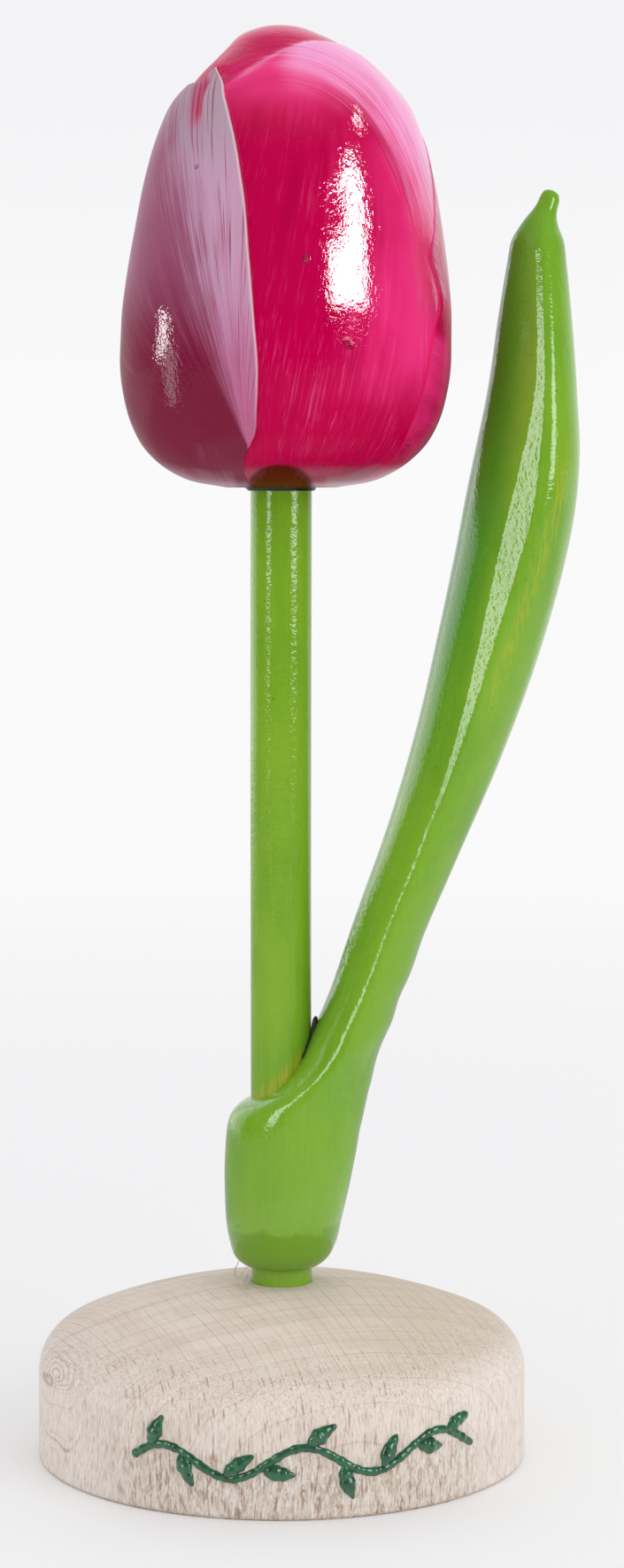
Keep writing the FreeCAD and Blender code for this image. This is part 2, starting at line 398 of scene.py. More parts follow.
def baseProfile():
    # flat underside, broken edge, upright side, shoulder arc, dome arc, bore
    b = baseTurning
    radius = baseHigh.x
    domeCentre = b["thickness"] - b["crownRadius"]
    shoulderX = radius - b["shoulderRadius"]
    rise = math.sqrt((b["crownRadius"] - b["shoulderRadius"]) ** 2 - shoulderX ** 2)
    shoulderZ = domeCentre + rise
    meeting = math.atan2(rise, shoulderX)
    turn = np.linspace(0, meeting, b["shoulderRows"])[:, None]
    shoulder = np.hstack([shoulderX + b["shoulderRadius"] * np.cos(turn),
                          shoulderZ + b["shoulderRadius"] * np.sin(turn)])
    last = math.acos(b["boreRadius"] / b["crownRadius"])
    turn = np.linspace(meeting, last, b["domeRows"])[1:, None]
    dome = np.hstack([b["crownRadius"] * np.cos(turn), domeCentre + b["crownRadius"] * np.sin(turn)])
    edge = b["brokenEdge"]
    foot = alongCorners([(0, 0), (radius - edge, 0)], b["footStep"])
    side = alongCorners([(radius - edge, 0), (radius, edge), (radius, shoulderZ)], b["sideStep"])
    bore = alongCorners([dome[-1], (b["boreRadius"], b["holeFloor"]), (0, b["holeFloor"])], b["boreStep"])
    return np.concatenate([foot, side[1:], shoulder[1:], dome, bore[1:]])


def makeBase():
    # the profile turned round Z, then drawn in a little and unevenly near the rim
    points = turned(baseProfile(), baseTurning["columns"])
    radial = np.hypot(points[..., 0], points[..., 1])
    outside = eased((radial - 0.6 * baseHigh.x) / (0.3 * baseHigh.x))
    wobble = softNoise(points, baseTurning["wobbleLength"], 4) * baseTurning["wobble"] * outside
    points[..., :2] *= (1 - wobble / baseHigh.x)[..., None]
    return gridPiece("beechBase", points)


beech = {
    "rayNormal": (-0.93, -0.36, 0.04),
    "ringNormal": (0.30, -0.84, -0.45),
    "sawNormal": (0.36, -0.93, 0.0),
    "ovalHeight": 13.6,
    "pale": paint(233, 219, 207),
    "tan": paint(212, 193, 172),
    "line": paint(150, 124, 104),
    "dash": paint(124, 90, 64),
    "tornAndSideLight": paint(243, 235, 227),
    "fleck": paint(166, 134, 108),
    "rust": paint(160, 124, 98),
}


def beechMaterial():
    material, tree, shader = newMaterial("beechWood", roughness=0.62, specular=0.3)
    place = objectPlace(tree)
    side, front, height = (axisOf(place, axis) for axis in "XYZ")
    sideways = ranged(height, 20.5, 16.5)
    topness = ranged(height, 13.5, 18.5)
    endward = ranged(maths("ABSOLUTE", side), 14.0, 30.0)

    def across(normal, warp, warpScale, offset):
        # distance along a direction, made uneven by slow noise
        slow = noise(place, (warpScale,) * 3, shift=(offset * warpScale, 0, 0))
        return measured("DOT_PRODUCT", place, normal) + slow * warp

    def thinLines(distance, density, width):
        inputs = {"W": distance, "Scale": density, "Randomness": 0.85}
        settings = {"voronoi_dimensions": "1D", "feature": "DISTANCE_TO_EDGE"}
        return ranged(derived("TexVoronoi", inputs, "Distance", **settings), width, 0.0)

    # broad growth rings: slow change between pale and tan with a thin line at each edge
    ringWay = across(beech["ringNormal"], 4.0, 0.045, 31.0)
    bands = noise(derived("CombineXYZ", {"X": ringWay}), (0.30, 1, 1), 2.0, 0.6)
    ringLine = thinLines(ringWay, 0.30, 0.045)
    # rays: thin dark lines, closer together on the left and closed into ovals there
    low = height - beech["ovalHeight"]
    bend = maths("SQRT", low * low + 2.5) * ranged(side, -24.0, -31.0)
    rayWay = across(beech["rayNormal"], 2.6, 0.06, 7.0) - bend * 0.12
    rayWay = maths("LOGARITHM", 1.65 - rayWay * 0.0217, math.e) * -46.2
    rayBreak = ranged(noise(place, (0.4, 0.14, 0.4)), 0.30, 0.60)
    onTop = maths("MAXIMUM", topness * 0.34 + 0.14, ranged(side, -22.0, -28.0) * 0.62)
    rays = maths("MAXIMUM", thinLines(rayWay, 0.85, 0.055), thinLines(rayWay, 1.9, 0.075) * 0.5)
    rays = rays * (rayBreak * 0.6 + 0.4) * onTop
    tileSpot = derived("CombineXYZ", {"X": rayWay * 0.45, "Y": ringWay * 0.32})
    inputs = {"Vector": tileSpot, "Scale": 1.0, "Randomness": 0.7}
    tile = ranged(axisOf(derived("TexVoronoi", inputs, "Color", distance="CHEBYCHEV"), "X"), 0.45, 1.0)
    # pores, fibres, dashes and flecks
    pores = noise(place, (6, 6, 1.1), 2.0, 0.6)
    fibres = noise(place, (3.6, 3.6, 0.20), 3.0, 0.65)
    cloud = noise(place, (0.10, 0.10, 0.10), shift=(5, 0, 2))
    flecks = noise(place, (4.6, 4.6, 0.75), 3.0, 0.65, 0.3, (1, 6, 2))
    dashBreak = noise(place, (1.6, 0.50, 0.36), 1.0, shift=(2, 8, 0))
    dashes = thinLines(rayWay, 1.5, 0.16) * ranged(dashBreak, 0.54, 0.63) * sideways * (1.0 - endward * 0.8)
    # small ovals round one spot at the left, where the saw met the rays head on
    ovalX = measured("DOT_PRODUCT", place, beech["sawNormal"]) * 0.36 - 0.50
    ovalZ = maths("MINIMUM", low * 1.25, low * 0.8)
    ovalWay = maths("SQRT", ovalX * ovalX + ovalZ * ovalZ) + noise(place, (0.5, 0.5, 0.5)) * 0.5
    oval = ranged(maths("SINE", ovalWay * 12.0), 0.1, 0.9)
    oval = oval * ranged(ovalWay, 4.0, 1.2) * ranged(side, -20.0, -26.0)
    colour = layered(
        beech, beech["pale"],
        (ranged(bands, 0.42, 0.68) * 0.42, "tan"),
        (tile * topness * 0.30, "tan"),
        (ranged(cloud, 0.5, 0.8) * 0.35, "tan"),
        (ranged(side, 2.0, 20.0) * topness * 0.55, "tan"),
        # painted light: towards its left and right ends the side is painted paler, making up for the shade
        # there
        (endward * (0.62 - topness * 0.62), "tornAndSideLight"),
        (ringLine * (topness * 0.06 + 0.24), "line"),
        (rays, "line"),
        (ranged(pores, 0.52, 0.75) * 0.20, "line"),
        (ranged(fibres, 0.50, 0.68) * sideways * 0.45, "tornAndSideLight"),
        (ranged(fibres, 0.47, 0.30) * sideways * 0.30, "line"),
        (dashes * 0.55, "dash"),
        (ranged(flecks, 0.53, 0.68) * sideways * 0.46, "fleck"),
        (ranged(flecks, 0.46, 0.34) * sideways * 0.55, "tornAndSideLight"),
        (oval * 0.34, "line"),
    )

    # torn, whitish fibres on the lower front, wet with varnish in spots
    lower = ranged(height - noise(place, (0.35, 0.35, 0.12), 3.0) * 9.0, 5.5, 1.5)
    facing = ranged(front, -8.0, -20.0) * ranged(side, -25.0, -17.0) * ranged(side, 28.0, 18.0, 0.35, 1.0)
    tornZone = lower * facing
    tornLight = noise(place, (3.4, 3.4, 0.75), 4.0, 0.7, 0.3)
    tornDark = noise(place, (1.5, 1.5, 0.42), 4.0, 0.7, 0.4, (9, 3, 1))
    tornAndSideLight = layered(
        beech, colour,
        (ranged(tornDark, 0.42, 0.68), "rust"),
        (ranged(tornLight, 0.48, 0.62), "tornAndSideLight"),
    )
    wet = ranged(tornZone * tornLight, 0.42, 0.62)
    relief = pores + (fibres * 0.5 - flecks * 1.2) * sideways + tornLight * tornZone * 2.6 - dashes * 0.8
    feed(shader, Base_Color=blended(tornZone * 0.85, colour, tornAndSideLight),
         Roughness=pores * 0.16 + 0.54 - wet * 0.40, Normal=bump(relief, 0.10 * mm, 0.9))
    return material


placePiece(makeBase(), beechMaterial(), "base")
print("stage: base")


# green lacquer shared by the stem and the leaf

greenPaint = {
    "stemMiddle": paint(128, 173, 42),
    "stemDeep": paint(116, 164, 38),
    "stemLight": paint(146, 182, 48),
    "leafMiddle": paint(124, 172, 46),
    "leafDeep": paint(112, 163, 42),
    "leafLight": paint(140, 180, 52),
    "scuff": paint(198, 184, 44),
    "foot": paint(104, 150, 22),
    "flankShade": paint(64, 144, 34),
    "speck": paint(60, 78, 32),
    "rub": paint(172, 176, 44),
}


def greenMaterial(part, wearAndShadeOf):
    # three greens and specks, then the part's own wear and, on the leaf, painted shade: the function passed
    # in gives their layers and the gloss
    name = part + "Green"
    material, tree, shader = newMaterial(name, roughness=0.40, coat=1.0, coatRoughness=0.02, specular=0.0)
    place = objectPlace(tree)
    slow = noise(place, (0.10, 0.10, 0.045), 3.0, 0.6)
    brush = noise(place, (2.6, 2.6, 0.10), 3.0, 0.6, 0.2)
    specks = derived("TexVoronoi", {"Vector": place, "Scale": 0.33}, "Distance", feature="F1")
    wearAndShade, gloss = wearAndShadeOf(place, slow, brush)
    colour = layered(
        greenPaint, greenPaint[part + "Middle"],
        (ranged(slow, 0.40, 0.66), part + "Deep"),
        (ranged(brush, 0.48, 0.72) * 0.35, part + "Light"),
        (ranged(specks, 0.055, 0.03) * 0.55, "speck"),
        *wearAndShade,
    )
    ripples = noise(place, (0.7, 0.7, 2.8))
    skin = bump(ripples, 0.012 * mm, normal=lacquerSkin(place, brush))
    feed(shader, Base_Color=colour, Coat_Weight=gloss, Normal=skin, Coat_Normal=skin)
    return material


def stemWear(place, *_):
    # yellowish band where glue met the paint, just above the collar's mouth
    ragged = noise(place, (4.5, 4.5, 0.25), 2.0, 0.6)
    band = axisOf(place, "Z") - axisOf(place, "X") * 0.95 - ragged * 4.0
    near = ranged(band, 50.4, 47.9) * ranged(band, 40.0, 43.0) * ranged(ragged, 0.32, 0.64, 0.15, 0.65)
    return [(near, "scuff")], 1.0


def leafWearAndShade(place, slow, brush):
    side, height = axisOf(place, "X"), axisOf(place, "Z")
    tall = height - (leafHigh.z / mm - 5.0)
    leftward = 34.0 - tall * tall * 0.0027 - side
    # thicker paint gathered at the foot of the collar
    foot = ranged(height - noise(place, (0.25, 0.25, 0.6), 3.0) * 5.0, 28.9, 28.0)
    # painted shade: a deeper green on the flank that faces the bloom, standing for the shade the bloom casts
    # there
    flankShade = ranged(leftward, 0.5, 4.5) * ranged(tall, -78.0, -45.0)
    # a yellowish rub right of the spine, where the blade's edge was sanded
    aside = tall * 0.059 + 6.45 + leftward + (slow - 0.5) * 2.5
    rubbed = ranged(maths("ABSOLUTE", aside), 1.3, 0.2) * ranged(brush, 0.40, 0.62)
    rubbed = rubbed * ranged(tall, -66.0, -56.0) * ranged(tall, -22.0, -34.0)
    # lacquer worn in specks above the fork, where the leaf is handled
    worn = ranged(noise(place, (2.2, 2.2, 1.5), 2.0, 0.6), 0.40, 0.56)
    worn = worn * ranged(tall, -100.0, -94.0) * ranged(tall, -62.0, -84.0, 0.0, 0.9)
    worn = worn * ranged(maths("ABSOLUTE", leftward), 3.2, 1.8)
    return [(foot * 0.75, "foot"), (flankShade * 0.8, "flankShade"), (rubbed * 0.60, "rub")], 1.0 - worn


# stem: dowel with a very slight bow

stemDowel = {"bow": 0.10 * mm, "edge": 0.5 * mm, "columns": 96, "step": 0.8 * mm}


def makeStem():
    # circle carried up the axis; the axis bows by a half sine between base and bloom
    edge = stemDowel["edge"]
    corners = [(0, stemLow.z), (stemRadius - edge, stemLow.z), (stemRadius, stemLow.z + edge),
               (stemRadius, stemHigh.z - edge), (stemRadius - edge, stemHigh.z), (0, stemHigh.z)]
    points = turned(alongCorners(corners, stemDowel["step"]), stemDowel["columns"])
    share = np.clip((points[..., 2] - baseHigh.z) / (bloomLow.z - baseHigh.z), 0, 1)
    points[..., 0] -= stemDowel["bow"] * np.sin(np.pi * share)
    return gridPiece("stemDowel", points)


placePiece(makeStem(), greenMaterial("stem", stemWear), "stem")
print("stage: stem")


# leaf: ovals from the underside of the collar to the tip, bored for the stem

leafCarving = {
    "height": leafHigh.z - leafLow.z,
    "reach": 35.0 * mm,
    "width": 17.4 * mm,
    "depth": leafHigh.y - leafLow.y,
    # height share, how far the oval is drawn in at front and back, the ridge's shift
    # to the right
    "ridge": [
        (0.00, 0.00, 0.0), (0.18, 0.00, 0.0), (0.30, 0.20, 0.1 * mm), (0.45, 0.28, 0.3 * mm),
        (0.58, 0.24, 0.5 * mm), (0.66, 0.14, 1.1 * mm), (0.74, 0.14, 1.6 * mm), (0.83, 0.28, 1.4 * mm),
        (0.93, 0.30, 0.7 * mm), (1.00, 0.10, 0.0),
    ],
    # a flat planed along the left of the front ridge: height share and depth, and the
    # way it faces in degrees
    "flat": [
        (0.00, 0.0), (0.40, 0.0), (0.50, 0.05 * mm), (0.62, 0.18 * mm), (0.70, 0.26 * mm),
        (0.76, 0.14 * mm), (0.84, 0.05 * mm), (0.93, 0.03 * mm), (1.00, 0.0),
    ],
    "flatAngle": -24.0,
    "rows": 300,
    "columns": 200,
    # rows lie closer where the width changes, by this weight
    "crowding": 0.35,
    "boreShare": 0.30,
    "boreOverrun": 2.0 * mm,
    "boreStep": 60.0 * mm,
    "boreColumns": 96,
    "seam": 0.002 * mm,
    "sharpAngle": 40,
    # height share, centre share, width share, depth share, tilt in degrees
    "sections": [
        (0.0000, 0.000, 0.000, 0.000, 0), (0.0008, 0.000, 0.470, 0.400, 0),
        (0.0085, 0.000, 0.690, 0.600, 0), (0.0255, 0.005, 0.817, 0.720, 0),
        (0.0426, 0.007, 0.871, 0.780, 0), (0.0674, 0.016, 0.930, 0.830, 0),
        (0.1099, 0.034, 0.997, 0.855, 0), (0.1362, 0.049, 1.014, 0.860, 0),
        (0.1621, 0.084, 1.017, 0.860, 9), (0.1762, 0.123, 0.962, 0.850, 16),
        (0.1936, 0.181, 0.884, 0.840, 23), (0.2160, 0.241, 0.790, 0.825, 24),
        (0.2390, 0.280, 0.702, 0.815, 21), (0.2691, 0.3325, 0.615, 0.805, 11),
        (0.3227, 0.407, 0.543, 0.815, -10), (0.3936, 0.518, 0.572, 0.860, -21),
        (0.4925, 0.662, 0.672, 0.940, -19), (0.5908, 0.778, 0.772, 0.985, -15),
        (0.6894, 0.870, 0.806, 1.000, -10), (0.7546, 0.911, 0.760, 0.975, -5),
        (0.8191, 0.931, 0.640, 0.870, -3), (0.8837, 0.939, 0.534, 0.680, -1),
        (0.9326, 0.945, 0.436, 0.500, -1), (0.9539, 0.948, 0.384, 0.410, -2),
        (0.9688, 0.958, 0.266, 0.270, -8), (0.9830, 0.979, 0.164, 0.150, -18),
        (0.9930, 0.993, 0.144, 0.128, -18), (0.9980, 0.998, 0.104, 0.092, -18),
        (1.0000, 1.001, 0.000, 0.000, -18),
    ],
}


def makeLeaf():
    # each row is an oval: across X it is a cosine drawn in towards its front and
    # back edges, along Y a sine; the oval is tilted and set on the centre line
    c = leafCarving
    table = np.array(c["sections"], float)
    middle = np.stack([table[:, 1] * c["reach"], table[:, 0] * c["height"]], -1)
    knots = runAlong(middle, c["crowding"] * c["width"] * abs(np.diff(table[:, 2])))
    at = np.linspace(0, knots[-1], c["rows"])
    height, centre, width, depth, tilt = (curveThrough(knots, table[:, k], at)[:, None] for k in range(5))
    height = leafLow.z + height * c["height"]
    centre = centre * c["reach"]
    width = width * c["width"] / 2
    depth = depth * c["depth"] / 2
    tilt = np.radians(tilt)
    angle = np.linspace(0, 2 * np.pi, c["columns"], endpoint=False)
    ridge = np.array(c["ridge"])
    share = (height - leafLow.z) / c["height"]
    pinch, shift = (curveThrough(ridge[:, 0], ridge[:, k], share) for k in (1, 2))
    across = width * np.cos(angle) * (1 - pinch * np.sin(angle) ** 2)
    along = depth * np.sin(angle)
    across = across - shift * along / np.maximum(depth, 1 * mm)
    # the flat: whatever stands beyond a plane facing half left is cut back to it
    facing = math.radians(c["flatAngle"])
    flat = curveThrough(*np.array(c["flat"]).T, share)
    beyond = across * math.sin(facing) - along * math.cos(facing)
    beyond = np.maximum(beyond - (beyond.max(axis=1, keepdims=True) - flat), 0)
    across = across - beyond * math.sin(facing)
    along = along + beyond * math.cos(facing)
    x = centre + across * np.cos(tilt)
    z = height + across * np.sin(tilt)
    return gridPiece("leafUncut", np.stack([x, along + 0 * x, z], -1))


def boreLeaf(leaf):
    # the collar's bore, cut with a cylinder a hair wider than the stem
    c = leafCarving
    radius = baseTurning["boreRadius"]
    low, high = leafLow.z - c["boreOverrun"], leafLow.z + c["boreShare"] * c["height"]
    corners = [(0, low), (radius, low), (radius, high), (0, high)]
    cutter = gridPiece("boreTool", turned(alongCorners(corners, c["boreStep"]), c["boreColumns"]))
    cut = leaf.modifiers.new("bore", "BOOLEAN")
    cut.operation = "DIFFERENCE"
    cut.solver = "EXACT"
    cut.object = cutter
    leaf.modifiers.new("seam", "WELD").merge_threshold = c["seam"]
    bpy.context.view_layer.update()
    evaluated = leaf.evaluated_get(bpy.context.evaluated_depsgraph_get())
    mesh = bpy.data.meshes.new_from_object(evaluated)
    bpy.data.objects.remove(leaf)
    bpy.data.objects.remove(cutter)
    return finishMesh("leafCarved", mesh, c["sharpAngle"])


placePiece(boreLeaf(makeLeaf()), greenMaterial("leaf", leafWearAndShade), "leaf")
print("stage: leaf")


# bloom: one carved head; the grid's columns run along the petals' edges

bloomCarving = {
    "radius": (bloomHigh.x - bloomLow.x) / 2,
    "height": bloomHigh.z - bloomLow.z,
    "lean": 0.020,
    "centre": (bloomHigh.x + bloomLow.x) / 2 - 0.15 * mm,
    "socketFloor": stemHigh.z,
    "boreRadius": baseTurning["boreRadius"],
    "leftStep": 0.55 * mm,
    "rightStep": 0.40 * mm,
    "backStep": 0.50 * mm,
    "topStep": 0.75 * mm,
    "frontTopStep": 0.22 * mm,
    "fade": 6.0 * mm,
    "corner": 0.020,
    "lip": 0.3 * mm,
    "waveDepth": 0.10 * mm,
    "waveLength": 13.0 * mm,
    # groove down from the left petal's upper edge: its size, the height share of its top
    # and its run, and its angle there and how far it turns
    "grooveDepth": 0.80 * mm,
    "grooveWidth": 1.35 * mm,
    "grooveTop": 0.862,
    "grooveRun": 0.125,
    "grooveAngle": -53.0,
    "grooveTurn": 13.0,
    # how far the step above each upper edge reaches, and how softly it starts
    "topReach": {"leftTop": 7.0 * mm, "frontTop": 4.0 * mm, "rightTop": 6.0 * mm},
    "topSoftness": 0.15 * mm,
    "rows": 214,
    "insideStep": 2.5 * mm,
    "underStep": 0.4 * mm,
    # columns on the front, right, back and left petals, and how far they crowd to the edges
    "petalColumns": (132, 126, 30, 132),
    "crowding": 0.72,
    # radius share and height share of the outline, from the underside up
    "outline": [
        (0.333, 0.000), (0.594, 0.020), (0.773, 0.060), (0.869, 0.098), (0.925, 0.137),
        (0.980, 0.214), (1.000, 0.292), (0.997, 0.368), (0.975, 0.445), (0.947, 0.521),
        (0.909, 0.597), (0.866, 0.675), (0.812, 0.750), (0.772, 0.788), (0.721, 0.826),
        (0.640, 0.863), (0.540, 0.902), (0.419, 0.939), (0.249, 0.978), (0.120, 0.995),
        (0.000, 1.000),
    ],
    # edges of the petals: height share and angle in degrees from the front
    "leftFrontEdge": [
        (0.000, -22.0), (0.058, -16.3), (0.085, -12.9), (0.113, -9.8), (0.168, -8.7),
        (0.241, -8.2), (0.343, -9.6), (0.476, -12.2), (0.632, -16.6), (0.768, -24.7),
        (0.815, -29.9), (0.866, -38.9), (0.897, -51.0), (1.000, -70.0),
    ],
    "rightFrontEdge": [
        (0.000, 56.0), (0.134, 58.1), (0.235, 60.6), (0.294, 62.5), (0.344, 66.0),
        (0.385, 72.0), (0.415, 73.0), (0.450, 70.0), (0.492, 66.0), (0.560, 73.0),
        (0.700, 88.0), (0.850, 100.0), (1.000, 105.0),
    ],
    "rightBackEdge": [
        (0.000, 192.0), (0.150, 199.0), (0.350, 206.0), (0.600, 203.0), (0.800, 190.0),
        (0.930, 168.0), (1.000, 160.0),
    ],
    "leftBackEdge": [
        (0.000, 212.0), (0.150, 217.0), (0.350, 222.0), (0.600, 226.0), (0.800, 236.0),
        (0.900, 250.0), (1.000, 262.0),
    ],
    # upper edges: angle and height share
    "leftTop": [
        (-175, 0.78), (-150, 0.84), (-125, 0.862), (-105, 0.845), (-90, 0.848), (-79, 0.860),
        (-70, 0.870), (-63, 0.868), (-57, 0.878), (-53, 0.893), (-49, 0.902), (-30, 0.930),
    ],
    "frontTop": [
        (-60, 0.83), (-29, 0.869), (-21, 0.891), (-6, 0.924), (12, 0.946), (35, 0.952),
        (66, 0.950), (90, 0.935), (115, 0.90),
    ],
    "rightTop": [(60, 0.52), (75, 0.66), (95, 0.80), (120, 0.90), (142, 0.94), (165, 0.91), (215, 0.80)],
    # pimples in the lacquer: angle, height share, radius, height
    "pimples": [
        (6.9, 0.477, 0.42 * mm, 0.16 * mm), (21.4, 0.300, 0.45 * mm, 0.20 * mm),
        (23.0, 0.292, 0.25 * mm, 0.12 * mm), (62.9, 0.082, 0.55 * mm, 0.28 * mm),
        (60.5, 0.092, 0.40 * mm, 0.18 * mm), (-37.5, 0.674, 0.22 * mm, 0.08 * mm),
        (118.0, 0.35, 0.40 * mm, 0.16 * mm), (-120.0, 0.22, 0.45 * mm, 0.18 * mm),
        (200.0, 0.55, 0.35 * mm, 0.14 * mm), (160.0, 0.12, 0.50 * mm, 0.22 * mm),
    ],
}


def bloomProfile():
    # the socket's floor and wall, its lip, the flat underside and the outline, as one
    # line, and the number of its rows before the outline
    c = bloomCarving
    outline = np.array(c["outline"], float) * (c["radius"], c["height"])
    run = runAlong(outline)
    at = np.linspace(0, run[-1], c["rows"])
    skin = np.stack([curveThrough(run, outline[:, k], at) for k in range(2)], -1)
    bore, lip, floor = c["boreRadius"], c["lip"], c["socketFloor"] - bloomLow.z
    inside = alongCorners([(0, floor), (bore, floor), (bore, lip), (bore + lip, 0)], c["insideStep"])
    under = alongCorners([(bore + lip, 0), tuple(skin[0])], c["underStep"])[1:-1]
    return np.concatenate([inside, under, skin]), len(inside) + len(under)


def petalColumns(edges):
    # the angle of each column and the number of its petal: even shares of the way from
    # one edge to the next, drawn towards both by a sine
    c = bloomCarving
    angle = []
    for number, count in enumerate(c["petalColumns"]):
        low, high = edges[number][:, None], edges[number + 1][:, None]
        u = np.arange(count) / count
        u = u - c["crowding"] * np.sin(2 * np.pi * u) / (2 * np.pi)
        angle.append(low + (high - low) * u[None, :])
    angle = np.concatenate(angle, axis=1)
    return angle, np.repeat(range(4), c["petalColumns"])[None, :] + np.zeros_like(angle, int)


def makeBloom():
    # outline carried round the head's axis. Columns are shared out between the
    # petals' edges and crowd towards them, so each edge is one clean line; the
    # skin is sunk beside a petal's edge and comes back to full size with distance
    c = bloomCarving
    bore = c["boreRadius"]
    profile, skinStart = bloomProfile()
    share = profile[:, 1] / c["height"]
    share[:skinStart] = 0.0
    edgeNames = ("leftFrontEdge", "rightFrontEdge", "rightBackEdge", "leftBackEdge")
    edges = [curveThrough(*np.array(c[name]).T, share) for name in edgeNames]
    edges.append(edges[0] + 360.0)
    angle, span = petalColumns(edges)
    degrees = (angle + 180.0) % 360.0 - 180.0
    share = share[:, None] + 0 * angle
    radius = profile[:, :1] + 0 * angle
    height = profile[:, 1:2] + 0 * angle
    slope = np.gradient(profile, axis=0)
    slope /= np.linalg.norm(slope, axis=1)[:, None] + 1e-12
    outR, outZ = slope[:, 1:2], -slope[:, :1]

    def gapTo(number):  # distance round the head to an edge
        return abs(np.radians(angle - edges[number][:, None])) * radius

    def sunk(step, distance, weight):
        return step * np.exp(-distance / c["fade"]) * weight

    def above(name, step):  # sunk above a petal's upper edge
        level = curveThrough(*np.array(c[name]).T, angle if name == "rightTop" else degrees)
        rise = (share - level) * c["height"]
        start = eased((rise + c["topSoftness"]) / (3 * c["topSoftness"]))
        return step * np.exp(-np.maximum(rise, 0) / c["topReach"][name]) * start

    def fromPimple(turn, level):  # distance over the skin to a pimple's middle
        beside = np.radians((angle - turn + 180.0) % 360.0 - 180.0) * radius
        return np.hypot(beside, (share - level) * c["height"])

    foot = eased((share - 0.03) / 0.10)
    front, right, back, left = (span == k for k in range(4))
    tipFade = eased((0.905 - share) / 0.03)
    topFade = eased((0.93 - share) / 0.05)
    rightWeight = foot * (0.35 + 0.65 * eased((0.54 - share) / 0.06))
    leftAbove = above("leftTop", c["topStep"])
    sink = np.zeros_like(radius)
    for petal, depth in (
        (front, sunk(c["leftStep"], gapTo(0), foot * tipFade)),
        (front, sunk(c["rightStep"], gapTo(1), rightWeight)),
        (back, sunk(c["backStep"], np.minimum(gapTo(2), gapTo(3)), foot * topFade)),
        (left, leftAbove),
        (front, above("frontTop", c["frontTopStep"])),
        (right, above("rightTop", c["backStep"])),
    ):
        sink = np.maximum(sink, np.where(petal, depth, 0))

    # narrow groove that runs down from the dip in the left petal's upper edge
    lineShare = np.clip((c["grooveTop"] - share) / c["grooveRun"], 0, 1)
    lineAngle = c["grooveAngle"] + c["grooveTurn"] * lineShare
    aside = np.radians(degrees - lineAngle) * radius
    groove = np.exp(-(aside / c["grooveWidth"]) ** 2) * eased((0.890 - share) / 0.03)
    groove = groove * eased((share - 0.725) / 0.09) * left
    sink = sink + c["grooveDepth"] * groove

    around = np.stack([radius * np.sin(np.radians(angle)), radius * np.cos(np.radians(angle)), height], -1)
    lift = c["waveDepth"] * softNoise(around, c["waveLength"], 11) * foot - sink
    corner = c["corner"] * np.cos(3 * np.radians(angle + 9.0)) * radius
    lift = lift + corner * foot * eased((0.96 - share) / 0.25)
    for turn, level, size, tall in c["pimples"]:
        lift = lift + tall * np.exp(-(fromPimple(turn, level) / size) ** 2 * 2.0)
    lift[:skinStart] = 0.0
    radius = radius + lift * outR
    height = height + lift * outZ
    radius[-1] = 0.0
    height[-1] = height[-1].mean()

    # the head leans to the right about its lower middle, the socket stays upright
    middle = c["centre"] + c["lean"] * (height - 0.45 * c["height"])
    middle = middle * eased((profile[:, :1] - 1.1 * bore) / (1.5 * bore))
    middle[:skinStart] = np.where(profile[:skinStart, :1] <= bore + c["lip"], 0.0, middle[:skinStart])
    middle[-1] = c["centre"] + c["lean"] * 0.55 * c["height"]
    turn = np.radians(angle)
    points = np.stack([middle + radius * np.sin(turn), -radius * np.cos(turn), bloomLow.z + height], -1)

    # where the pimples ended up, for the skin's fine relief
    spots = []
    for turn, level, size, tall in c["pimples"]:
        away = fromPimple(turn, level)
        away[:skinStart] = 1.0
        spot = points[np.unravel_index(away.argmin(), away.shape)]
        spots.append((tuple((spot / mm).tolist()), size / mm))
    masks = bloomMasks(points, degrees, angle, share, span, edges, radius, groove, leftAbove)
    return gridPiece("bloomHead", points, masks), spots


# how the strokes lie: fans on the left and right petals, from a foot at a height share and
# an angle in degrees, and an oval on the front petal; then the widths of the painted edge
# highlights and the size of the painted shade over the stem
bloomBrushing = {
    "fanFoot": 0.085,
    "leftFan": -13.0,
    "rightFan": 205.0,
    "fanRadius": 22.0 * mm,
    "lowRadius": 21.0 * mm,
    "leastHeight": 0.5 * mm,
    "ovalCentre": (0.25 * mm, 152.0 * mm),
    "ovalSize": (18.4 * mm, 28.7 * mm),
    "courseChange": 0.86,
    "edgeHighlight": 0.21 * mm,
    "ridgeHighlight": 0.9 * mm,
    "shadeOverStemSize": (4.1 * mm, 2.8 * mm),
}


